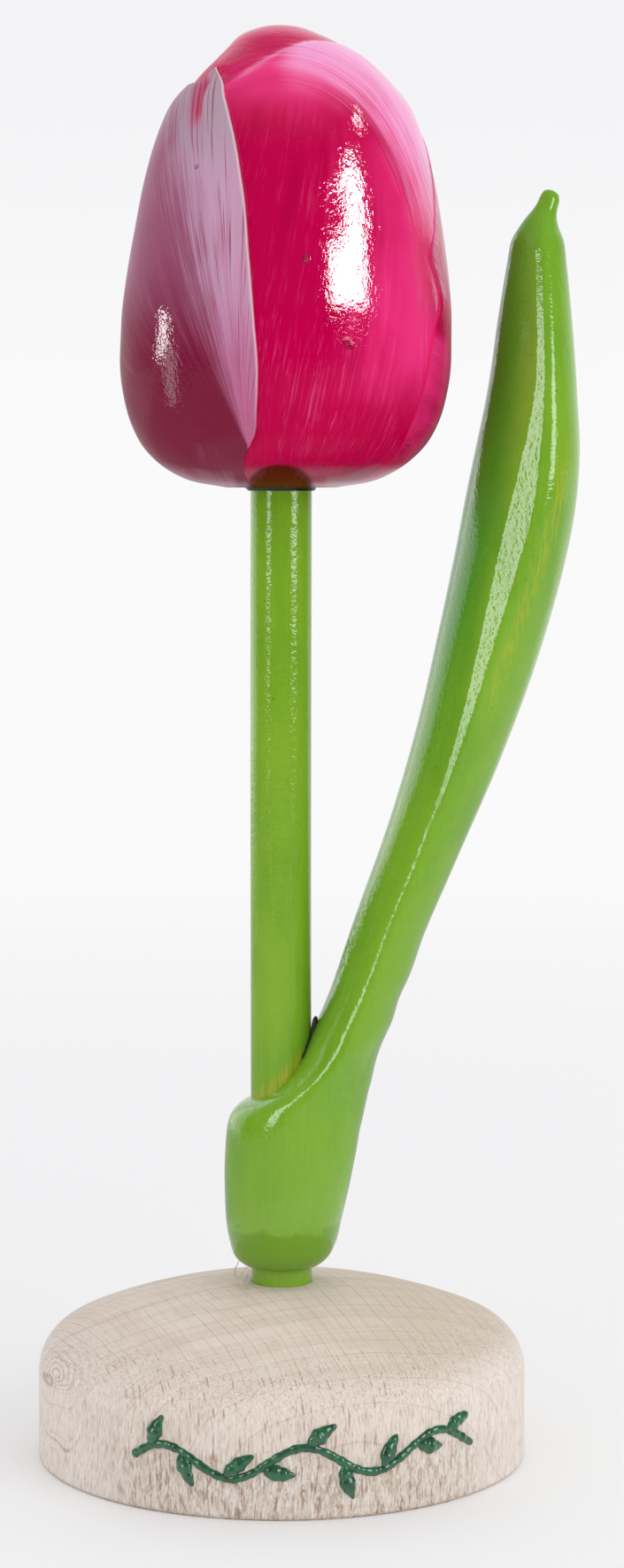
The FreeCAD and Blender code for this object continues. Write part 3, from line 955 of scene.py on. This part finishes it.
def bloomMasks(points, degrees, angle, share, span, edges, radius, groove, leftAbove):
    # where each brushed colour, painted highlight, painted reflection and painted shade lies, and the place
    # along and across the strokes
    c = bloomCarving
    b = bloomBrushing
    front, right, left = span == 0, span == 1, span == 3
    upright = (share - b["fanFoot"]) * c["height"]
    toEdge = [np.radians(angle - edge[:, None]) * radius for edge in edges]
    # left petal: strokes fan out from the foot of its front edge
    fanX = -np.radians(degrees - b["leftFan"]) * radius
    fanAngle = np.degrees(np.arctan2(fanX, np.maximum(upright, b["leastHeight"])))
    fanReach = np.hypot(fanX, upright)
    leftPale = eased((31.0 - fanAngle) / 25.0) * (0.95 + 0.05 * eased((share - 0.10) / 0.35))
    upperPale = eased((share - 0.62) / 0.24)
    leftPale = np.maximum(leftPale, (0.80 - 0.15 * eased((share - 0.78) / 0.1)) * upperPale)
    # front petal: strokes follow an oval from the top round to the right
    ovalX = (points[..., 0] - b["ovalCentre"][0]) / b["ovalSize"][0]
    ovalZ = np.maximum(points[..., 2] - b["ovalCentre"][1], 0) / b["ovalSize"][1]
    oval = np.hypot(ovalX, ovalZ)
    frontPale = eased((oval - 0.74) / 0.50) * eased((points[..., 2] - 146 * mm) / (26 * mm))
    frontPale *= eased((ovalX + 0.16 + 0.25 * (1 - ovalZ)) / 0.30)
    frontPale *= 1 + 0.22 * eased((points[..., 2] - 176 * mm) / (6 * mm))
    # right petal: pale towards its back edge, strokes fan out from its foot
    rightX = np.radians(b["rightFan"] - angle) * radius
    rightAngle = np.degrees(np.arctan2(rightX, np.maximum(upright, b["leastHeight"])))
    rightPale = eased((30.0 - rightAngle) / 24.0)
    sliver = eased((share - 0.37) / 0.05) * eased((3.5 * mm - toEdge[1]) / (2 * mm))
    rightPale = np.maximum(rightPale, 0.5 * sliver)
    pale = np.where(left, leftPale, np.where(front, frontPale, np.where(right, rightPale, 0.15)))
    cap = left & (leftAbove / c["topStep"] > 0.02)
    frontTop = curveThrough(*np.array(c["frontTop"]).T, degrees)
    overFront = front & (share > frontTop)
    pale = np.where(cap | overFront, 0.05, pale)
    across = np.where(left, np.radians(fanAngle), np.radians(rightAngle)) * b["fanRadius"]
    across = np.where(front, oval * b["ovalSize"][0], across)
    lowFront = front & (oval < b["courseChange"])
    across = np.where(lowFront, np.radians(degrees) * b["lowRadius"] - 0.16 * upright, across)
    along = np.where(left | right, fanReach, points[..., 2])
    # mauve and plum on the left petal, plum low down, brighter pink on the right of the
    # front petal and near the top
    mauve = np.where(left, eased((share - 0.10) / 0.55), 0.0) * (1 - cap)
    plum = np.where(left, eased((fanAngle + 4.0) / 24.0), 0.0) * (1 - cap)
    plum = np.maximum(plum * (1 - groove), 0.40 * groove)
    rightLow = eased((0.40 - share) / 0.12)
    plum = np.maximum(plum, np.where(right, 0.12 * rightLow * eased((share - 0.24) / 0.08), 0.0))
    plum = np.maximum(plum, np.where(front, 0.55 * eased((0.085 - share) / 0.06), 0.0))
    bright = np.where(front, 0.74 * eased((ovalX - 0.10) / 0.80) * eased((share - 0.04) / 0.26), 0.0)
    nearFront = eased((13 * mm - toEdge[1]) / (9 * mm)) * eased((share - 0.04) / 0.10)
    bright = np.maximum(bright, np.where(right, 0.74 * eased((0.37 - share) / 0.07) * nearFront, 0.0))
    topBright = np.where(left & ~cap, 0.0, np.where(front & ~overFront, 0.82, 0.40))
    bright = np.maximum(bright, topBright * eased((share - 0.70) / 0.20))
    # painted highlight: a thin cream line along the left petal's front edge, where the raised edge catches
    # the light
    edgeHighlight = np.where(left, np.exp(-(toEdge[4] / b["edgeHighlight"]) ** 2), 0.0) * eased((share - 0.08) / 0.2)
    edgeHighlight = edgeHighlight * eased((0.91 - share) / 0.02)
    # painted highlight: a pale line along the front petal's upper edge, where the ridge catches the light
    ridge = np.where(front, np.exp(-((share - frontTop) * c["height"] / b["ridgeHighlight"]) ** 2), 0.0)
    ridge = ridge * eased((18.0 - degrees) / 14.0) * eased((degrees + 34.0) / 12.0)
    # painted reflection: under the bloom a paler band stands for the floor's sheen, deeper towards the sides
    # and missing over the stem
    aslant = abs(np.sin(np.radians(angle)))
    bandTop = 0.026 + 0.034 * aslant ** 2 + 0.006 * softNoise(points, 7 * mm, 5)
    bare = eased((bandTop - share) / 0.012 + 0.5) * (0.40 + 0.60 * eased((bandTop - share) / bandTop))
    bare = bare * eased((radius / c["boreRadius"] - 1.1) / 0.5)
    besideStem = eased((abs(points[..., 0]) / c["boreRadius"] - 1.15) / 0.45)
    bare = bare * np.where(points[..., 1] > 0, 1.0, besideStem)
    # painted shade: over the stem a dark oval patch, as wide as the stem's collar of lacquer
    wide, tall = b["shadeOverStemSize"]
    upOval = np.hypot(points[..., 0] / wide, (points[..., 2] - bloomLow.z) / tall)
    shadeOverStem = np.where(points[..., 1] < 0, eased((1.10 - upOval) / 0.16), 0.0)
    # the lowest part of the front and right petals shines less
    dullTop, dullDepth = np.where(right, 0.56, 0.415), np.where(right, 0.28, 0.09)
    dulled = eased((dullTop - share) / dullDepth) * (0.45 + 0.55 * eased((share - 0.030) / 0.02))
    # calm where the front petal's strokes change course
    calm = np.where(front, np.exp(-((oval - b["courseChange"]) / 0.055) ** 2), 0.0)
    return {
        "pale": np.maximum(pale * (1 - 0.62 * groove), 0.45 * ridge),
        "violet": np.where(left, 1.0, 0.0) * (1 - cap),
        "mauve": mauve,
        "plum": plum,
        "bright": bright,
        "edgeHighlight": edgeHighlight,
        "bare": bare,
        "shadeOverStem": shadeOverStem,
        # painted sheen: the upper left petal is greyed, standing for a soft veil of reflected light
        "ashSheen": np.where(left, eased((share - 0.56) / 0.26), 0.0) * (1 - cap) * (1 - groove),
        "calm": calm,
        "lowStrokes": np.where(front, eased((0.48 - share) / 0.18), 0.0),
        "gloss": np.where(left, 0.40, 1.0) * (1 - dulled * np.where(left, 0.20, 0.88)) * (1 - 0.62 * shadeOverStem),
        "strokes": np.stack([across, along, span * 40 * mm], -1),
    }


bloomPaint = {
    "red": paint(190, 0, 71),
    "bright": paint(238, 52, 126),
    "stroke": paint(232, 74, 138),
    "crimson": paint(168, 0, 58),
    "mauve": paint(156, 84, 114),
    "plum": paint(124, 22, 56),
    "pink": paint(246, 166, 214),
    "violet": paint(200, 158, 186),
    "rose": paint(190, 112, 150),
    "highlightCream": paint(236, 214, 222),
    "ashSheen": paint(178, 154, 168),
    "shadeUmber": paint(92, 14, 6),
    "sheenDusk": paint(196, 150, 170),
}


def bloomMaterial(pimples):
    material, tree, shader = newMaterial("bloomLacquer", roughness=0.40, coatRoughness=0.015, specular=0.0)
    feed(shader, Coat_IOR=1.6)
    place = objectPlace(tree)
    strokes = scaled(attribute(tree, "strokes", "Vector"), (1000, 1000, 1000))
    names = ("pale", "violet", "mauve", "plum", "bright", "edgeHighlight", "bare", "shadeOverStem", "ashSheen",
             "calm", "lowStrokes", "gloss")
    mask = {name: attribute(tree, name) for name in names}

    def brushed(scale, detail, rough, shift=(0, 0, 0)):
        # noise along the strokes, flat where they change course
        value = noise(strokes, scale, detail, rough, shift=shift)
        return (value - 0.5) * (1.0 - mask["calm"]) + 0.5

    broad = brushed((0.9, 0.035, 1), 3.0, 0.6)
    fine = brushed((4.2, 0.10, 1), 3.0, 0.65)
    hair = brushed((9.0, 0.32, 1), 2.0, 0.6)
    wash = brushed((0.30, 0.05, 1), 2.0, 0.5, (0, 4, 0))
    patches = noise(place, (0.11, 0.11, 0.08)) - 0.5

    def uneven(value, byBroad, byFine, low, high):  # a mask made streaky along the strokes
        return ranged(value + (broad - 0.5) * byBroad + (fine - 0.5) * byFine, low, high)

    paints = bloomPaint
    red = layered(
        paints, paints["red"],
        (uneven(patches * 0.8 + mask["bright"], 0.5, 0.25, 0.05, 1.0), "bright"),
        (ranged(hair, 0.55, 0.68) * ranged(broad, 0.40, 0.62) * (mask["lowStrokes"] * 0.40 + 0.22), "stroke"),
        (ranged(wash, 0.50, 0.72) * 0.45, "crimson"),
    )
    mauve = layered(paints, paints["plum"], (uneven(mask["mauve"], 0.5, 0.4, 0.1, 0.95), "mauve"))
    under = blended(uneven(mask["plum"], 0.5, 0.2, 0.15, 0.85), red, mauve)
    # the left petal's lilac, greyed towards the top by a painted sheen
    lilac = layered(
        paints, paints["rose"],
        (uneven(mask["mauve"], 0.4, 0.3, 0.0, 0.9), "violet"),
        (uneven(mask["ashSheen"], 0.6, 0.5, 0.1, 1.25), "ashSheen"),
    )
    paleTone = blended(mask["violet"], paints["pink"], lilac)
    colour = blended(uneven(patches * 0.7 + mask["pale"], 0.60, 1.05, 0.10, 1.12), under, paleTone)
    # fine darker streaks in the pale paint
    streak = noise(strokes, (4.6, 0.055, 1), 2.0, 0.6, shift=(3, 0, 0))
    streakTone = blended(mask["violet"], paints["bright"], paints["plum"])
    colour = blended(ranged(streak, 0.56, 0.68) * 0.70 * mask["pale"], colour, streakTone)

    # pimples: a dark rim of lacquer round a raised drop
    drops, rims = 0.0, 0.0
    for spot, size in pimples:
        away = measured("DISTANCE", place, spot)
        drops = drops + ranged(away, 1.25 * size, 0.25 * size)
        rims = rims + ranged(away, 2.0 * size, 1.3 * size) * ranged(away, 0.5 * size, 1.0 * size)
    # over the paint: a painted highlight along the left petal's edge, the floor's painted reflection under
    # the bloom and painted shade over the stem; then the pimples' rims
    colour = layered(
        paints, colour,
        (mask["edgeHighlight"], "highlightCream"),
        (uneven(mask["bare"], 0.35, 0.35, 0.15, 0.95) * 0.42, "sheenDusk"),
        (mask["shadeOverStem"], "shadeUmber"),
        (rims * 0.40, "plum"),
    )
    skin = bump(drops, 0.30 * mm, normal=lacquerSkin(place, fine))
    feed(shader, Base_Color=colour, Coat_Weight=mask["gloss"], Normal=skin, Coat_Normal=skin)
    return material


bloom, pimples = makeBloom()
placePiece(bloom, bloomMaterial(pimples), "bloom")
print("stage: bloom")


# ornament: a sprig piped in thick green paint on the front of the base

sprig = {
    "reach": (-35.0, 49.0),
    "middle": 7.4 * mm,
    "swing": 1.9 * mm,
    "rise": 1.2 * mm,
    "waves": 2.6,
    "width": 1.25 * mm,
    "thickness": 0.85 * mm,
    "endReach": 0.5 * mm,
    "columns": 18,
    "vineRows": 420,
    "leafRows": 70,
    "paint": paint(24, 102, 62),
    "shade": paint(14, 70, 42),
    # share along the vine, side, length, turn away from the vine in degrees
    "leaves": [
        (0.06, 1, 4.4 * mm, 62), (0.15, -1, 4.6 * mm, 55), (0.27, 1, 4.8 * mm, 58),
        (0.37, -1, 4.4 * mm, 60), (0.49, 1, 4.6 * mm, 56), (0.59, -1, 4.8 * mm, 58),
        (0.70, 1, 4.6 * mm, 60), (0.80, -1, 4.2 * mm, 56), (0.90, 1, 4.2 * mm, 52),
    ],
}


def pipedStroke(turn, height, width, seed):
    # a rounded bead of paint: an oval carried along a line drawn on the base's side;
    # the oval shrinks to a point at both ends and swells unevenly on the way
    rng = np.random.default_rng(seed)
    out = np.stack([np.sin(turn), -np.cos(turn), np.zeros(len(turn))], -1)
    spot = np.stack([baseHigh.x * np.sin(turn), -baseHigh.x * np.cos(turn), height], -1)
    aside = np.cross(out, unit(np.gradient(spot, axis=0)))
    run = runAlong(spot)
    lumps = sum(np.sin(run / mm * f + rng.uniform(0, 6.28)) for f in (1.3, 2.9, 5.1)) * 0.06
    half = width / 2 * (1 + lumps) * roundedEnds(run, sprig["endReach"])
    rise = half * sprig["thickness"] / sprig["width"] * (1 + 0.8 * lumps)
    return ovalTube(spot, aside, out, half, rise, sprig["columns"])


def makeSprig():
    # the vine is a sine round the base; each leaf a bent stroke, thick in its middle
    s = sprig

    def vine(t):
        turn = np.radians(s["reach"][0] + (s["reach"][1] - s["reach"][0]) * t)
        return turn, s["middle"] + s["rise"] * (t - 0.5) + s["swing"] * np.sin(2 * np.pi * s["waves"] * t)

    share = np.linspace(0, 1, s["vineRows"])
    strokes = [pipedStroke(*vine(share), s["width"] * 0.85 + 0 * share, 3)]
    go = np.linspace(0, 1, s["leafRows"])
    for number, (at, side, length, away) in enumerate(s["leaves"]):
        (t0, t1), (h0, h1) = vine(np.array([at, at + 0.01]))
        heading = math.atan2(h1 - h0, (t1 - t0) * baseHigh.x)
        bent = heading + side * np.radians(away) * (1 - 0.45 * go)
        step = length / len(go)
        dx, dz = np.cumsum(np.cos(bent)) * step, np.cumsum(np.sin(bent)) * step
        swell = s["width"] * (0.45 + 1.15 * np.sin(np.pi * go ** 0.8) ** 1.2)
        strokes.append(pipedStroke(t0 + dx / baseHigh.x, h0 + dz, swell, 10 + number))
    vertices, faces = [], []
    for points in strokes:
        skin, quads = gridSkin(points, sum(len(part) for part in vertices))
        vertices.append(skin)
        faces += quads
    return finishMesh("sprigPiping", newMesh("sprigPiping", np.concatenate(vertices), faces))


sprigMaterial = lumpyMaterial("sprigGreen", sprig["paint"], sprig["shade"], 0.8, 0.35, 4,
                              roughness=0.28, coat=0.6, coatRoughness=0.05)
placePiece(makeSprig(), sprigMaterial)
print("stage: ornament")


# glue and lacquer left at the joints, and a dark ring where the stem enters the bloom

glue = {
    "ringRadius": 4.6 * mm,
    "ringHeight": 0.42 * mm,
    "ringInside": 0.3 * mm,
    "ringOutside": 0.25 * mm,
    "ringTop": 0.1 * mm,
    "ringStep": 0.2 * mm,
    "ringColumns": 120,
    "ringLumps": 0.05,
    "ringLumpLength": 5.0 * mm,
    "dark": paint(24, 26, 16),
    "corner": paint(44, 52, 28),
    "clear": paint(206, 200, 176),
    "tubeRows": 60,
    "tubeColumns": 12,
    "tubeAside": (0.31, -0.87, 0.38),
    # how near a point lies to the bore's wall, and to a turn in degrees
    "wallReach": 0.02 * mm,
    "turnReach": 4.0,
    # the corner bead starts at these points, follows the mouth at these turns in
    # degrees, and has these widths on the way; points and widths in millimetres
    "cornerTop": [(4.55, -1.0, 58.5), (4.40, -1.1, 57.8)],
    "cornerTurns": [-18, -26, -34, -42, -50],
    "cornerWidths": [0.45, 0.75, 0.30, 0.34, 0.26, 0.26, 0.16],
    # stray threads at the foot of the collar, points in millimetres
    "threadWidth": 0.13 * mm,
    "threads": [
        [(-4.6, -4.2, 25.6), (-5.3, -4.4, 24.6), (-5.4, -4.5, 23.4), (-4.7, -4.6, 22.6)],
        [(-5.6, -3.6, 26.4), (-6.1, -3.8, 25.0), (-5.8, -4.2, 23.4), (-4.4, -4.4, 22.8)],
        [(-4.2, -4.0, 25.2), (-4.7, -4.1, 24.0), (-4.35, -4.3, 22.9)],
    ],
}


def makeSocketRing():
    # a thin uneven dark ring where the stem enters the bloom
    radius = baseTurning["boreRadius"]
    inner, top, bottom = radius - glue["ringInside"], glue["ringTop"], -glue["ringHeight"]
    corners = [(inner, top), (inner, bottom), (radius + glue["ringOutside"], bottom),
               (glue["ringRadius"], 0.0), (inner, top)]
    points = turned(alongCorners(corners, glue["ringStep"])[:-1], glue["ringColumns"])
    points[..., :2] *= 1 + glue["ringLumps"] * softNoise(points, glue["ringLumpLength"], 21)[..., None]
    points[..., 2] += bloomLow.z
    return gridLoop("socketBead", points)


def drawnTube(name, path, width):
    # a round thread along a smooth line through a few points, pointed at both ends
    path = np.asarray(path, float)
    knots = runAlong(path)
    at = np.linspace(0, knots[-1], glue["tubeRows"])
    line = np.stack([curveThrough(knots, path[:, k], at) for k in range(3)], -1)
    wide = curveThrough(knots, width, at) if np.ndim(width) else np.full(len(at), width)
    wide = wide * roundedEnds(at, wide.max() * 0.6) / 2
    along = unit(np.gradient(line, axis=0))
    aside = unit(np.cross(along, glue["tubeAside"]))
    return gridPiece(name, ovalTube(line, aside, np.cross(along, aside), wide, wide, glue["tubeColumns"]))


def mouthRim(turns):
    # the mouth's line read from the bored leaf: at each turn round the bore the
    # highest point that lies on the bore's wall
    mesh = bpy.data.objects["leafCarved"].data
    spots = np.empty(len(mesh.vertices) * 3)
    mesh.vertices.foreach_get("co", spots)
    spots = spots.reshape(-1, 3)
    radius = baseTurning["boreRadius"]
    spots = spots[abs(np.hypot(spots[:, 0], spots[:, 1]) - radius) < glue["wallReach"]]
    turn = np.degrees(np.arctan2(spots[:, 1], spots[:, 0]))
    near = abs(turn[None, :] - np.asarray(turns, float)[:, None]) < glue["turnReach"]
    height = np.where(near, spots[None, :, 2], -1.0).max(axis=1)
    turn = np.radians(turns)
    return np.stack([radius * np.cos(turn), radius * np.sin(turn), height], -1)


def glueMaterial(name, colour, roughness, coat):
    darker = tuple(0.6 * part for part in colour[:3]) + (1.0,)
    return lumpyMaterial(name, colour, darker, 1.2, 0.4, 3,
                         roughness=roughness, coat=coat, coatRoughness=0.06, specular=0.2)


placePiece(makeSocketRing(), glueMaterial("darkSocketRing", glue["dark"], 0.35, 0.3))
cornerPath = np.concatenate([np.array(glue["cornerTop"]) * mm, mouthRim(glue["cornerTurns"])])
cornerBead = drawnTube("crotchBead", cornerPath, np.array(glue["cornerWidths"]) * mm)
placePiece(cornerBead, glueMaterial("cornerGlue", glue["corner"], 0.25, 0.9))
clearGlue = glueMaterial("clearGlue", glue["clear"], 0.3, 0.5)
for number, path in enumerate(glue["threads"]):
    thread = drawnTube("glueThread%d" % number, np.array(path) * mm, glue["threadWidth"])
    placePiece(thread, clearGlue)
print("stage: glue")


# stage, light and camera

studio = {
    "floor": paint(247, 247, 247),
    "floorShade": paint(228, 228, 228),
    "backdrop": paint(250, 250, 251),
    "top": paint(243, 243, 245),
    "daylight": 1.03,
    "room": 0.03,
    "ceiling": 0.22,
    # name, centre and size of the box in degrees (angle from the camera, height angle),
    # distance in metres, brightness of its face, what it lights
    "lights": [
        ("daySoft", 48, 26, 40, 36, 0.9, 1.40, "everything"),
        ("keyBox", 51, 15.7, 28, 12.4, 0.9, 24.0, "bloom"),
        ("keyCorner", 59, 24.0, 12, 6, 0.9, 36.0, "bloom"),
        ("highGlint", 77, 38, 4, 7, 0.9, 20.0, "bloom"),
        ("sideGlint", -97, 6.5, 8, 7, 0.35, 34.0, "bloom"),
        ("sideVeil", -89, -5, 8, 17, 0.35, 6.0, "bloom"),
        ("rightWindow", 51, 12, 22, 28, 0.9, 8.0, "green"),
        ("leftWindow", -47, 14, 15, 32, 0.9, 7.0, "green"),
        ("backLeft", -128, 10, 46, 36, 0.8, 0.9, "green"),
    ],
    "aim": (0.0, 0.0, 0.13),
    # the floor's smallest and largest ring in metres, and their number
    "rings": (0.02, 6.0, 40),
    "floorColumns": 96,
    # the pieces that each kind of light is mirrored by
    "mirrors": {
        "bloom": ["bloomHead"],
        "green": ["stemDowel", "leafCarved", "sprigPiping", "crotchBead"],
    },
}


def makeFloor():
    # a disc of rings that grow with distance, from the rim in
    radii = np.append(np.geomspace(*studio["rings"])[::-1], 0.0)
    profile = np.stack([radii, np.zeros_like(radii)], -1)
    return gridPiece("floor", turned(profile, studio["floorColumns"]))


def floorMaterial():
    # near the object a pale matt sheet that takes the shadow; further off the camera
    # sees the backdrop's colour, and gloss mirrors the room: white behind, dim in front
    material, tree, shader = newMaterial("paleFloor", roughness=0.7, specular=0.15)
    place = source(tree, "TexCoord", "Object")
    away = measured("LENGTH", place)
    mottle = noise(place, (9, 9, 9)) * 0.04
    feed(shader, Base_Color=blended(mottle, studio["floor"], studio["floorShade"]))
    sheet = ranged(away, 0.95, 0.85, studio["room"], 0.55)
    behind = maths("MAXIMUM", ranged(axisOf(place, "Y"), 0.0, 0.50, 0.0, 0.9), sheet)
    surface = Value(shader.outputs[0])
    for ray, near, far, strength in (("Camera", 0.12, 0.75, 1.0), ("Glossy", 0.08, 0.14, behind)):
        seen = ranged(away, near, far) * source(tree, "LightPath", "Is %s Ray" % ray)
        glow = addNode(tree, "Emission", {"Color": studio["backdrop"], "Strength": strength})
        surface = derived("MixShader", {0: seen, 1: surface, 2: Value(glow.outputs[0])})
    output = next(item for item in tree.nodes if item.bl_idname == "ShaderNodeOutputMaterial")
    setInput(output.inputs["Surface"], surface)
    return material


def makeWorld():
    # even daylight on the paint; what the gloss mirrors is white behind the object,
    # softer above it and dim on the camera's side of the room
    world = bpy.data.worlds.new("whiteTent")
    bpy.context.scene.world = world
    world.use_nodes = True
    tree = world.node_tree
    tree.nodes.clear()
    way = source(tree, "TexCoord", "Generated")
    behind = ranged(axisOf(way, "Y"), 0.15, 0.90, studio["room"], 1.0)
    above = ranged(axisOf(way, "Z"), 0.35, 0.95, 0.0, studio["ceiling"])
    strength = studio["daylight"]
    for ray, level in (("Glossy", maths("MAXIMUM", behind, above)), ("Camera", 1.0)):
        seen = source(tree, "LightPath", "Is %s Ray" % ray)
        strength = derived("Mix", {0: seen, 2: strength, 3: level}, data_type="FLOAT")
    colour = blended(ranged(axisOf(way, "Z"), 0.0, 0.14), studio["backdrop"], studio["top"])
    back = addNode(tree, "Background", {"Color": colour, "Strength": strength})
    addNode(tree, "OutputWorld", {"Surface": Value(back.outputs[0])})


def mirrorGroups():
    groups = {}
    for lit, names in studio["mirrors"].items():
        groups[lit] = bpy.data.collections.new(lit + "Mirrors")
        for name in names:
            groups[lit].objects.link(bpy.data.objects[name])
    return groups


def makeLights():
    # soft boxes aimed at the object; brightness is the glow of the box's face. The day
    # box lights the paint, the others are only mirrored, each by its own pieces
    aim = np.array(studio["aim"])
    mirroredBy = mirrorGroups()
    for name, turn, rise, wide, tall, distance, glow, lit in studio["lights"]:
        turn, rise = math.radians(turn), math.radians(rise)
        way = np.array([math.sin(turn) * math.cos(rise), -math.cos(turn) * math.cos(rise), math.sin(rise)])
        light = bpy.data.lights.new(name, "AREA")
        light.shape = "RECTANGLE"
        light.size = 2 * distance * math.tan(math.radians(wide / 2))
        light.size_y = 2 * distance * math.tan(math.radians(tall / 2))
        light.energy = glow * math.pi * light.size * light.size_y
        holder = bpy.data.objects.new(name, light)
        holder.location = aim + way * distance
        holder.rotation_euler = (math.pi / 2 - rise, 0, turn)
        holder.visible_camera = False
        holder.visible_diffuse = lit == "everything"
        holder.visible_glossy = lit != "everything"
        if lit in mirroredBy:
            holder.light_linking.receiver_collection = mirroredBy[lit]
        bpy.context.scene.collection.objects.link(holder)


camera = {
    "place": (0.004, -0.450, 0.1275),
    "tilt": 4.89,
    "lens": 79.13,
    "film": 36.0,
    "near": 0.01,
    "far": 50.0,
}


def makeCamera():
    data = bpy.data.cameras.new("camera")
    data.sensor_fit = "VERTICAL"
    data.sensor_height = camera["film"]
    data.lens = camera["lens"]
    data.clip_start = camera["near"]
    data.clip_end = camera["far"]
    holder = bpy.data.objects.new("camera", data)
    holder.location = camera["place"]
    holder.rotation_euler = (math.radians(90 - camera["tilt"]), 0, 0)
    bpy.context.scene.collection.objects.link(holder)
    bpy.context.scene.camera = holder


floor = makeFloor()
floor.data.materials.append(floorMaterial())
makeWorld()
makeLights()
makeCamera()
bpy.context.scene.view_settings.view_transform = "Standard"
print("stage: floor, light and camera")
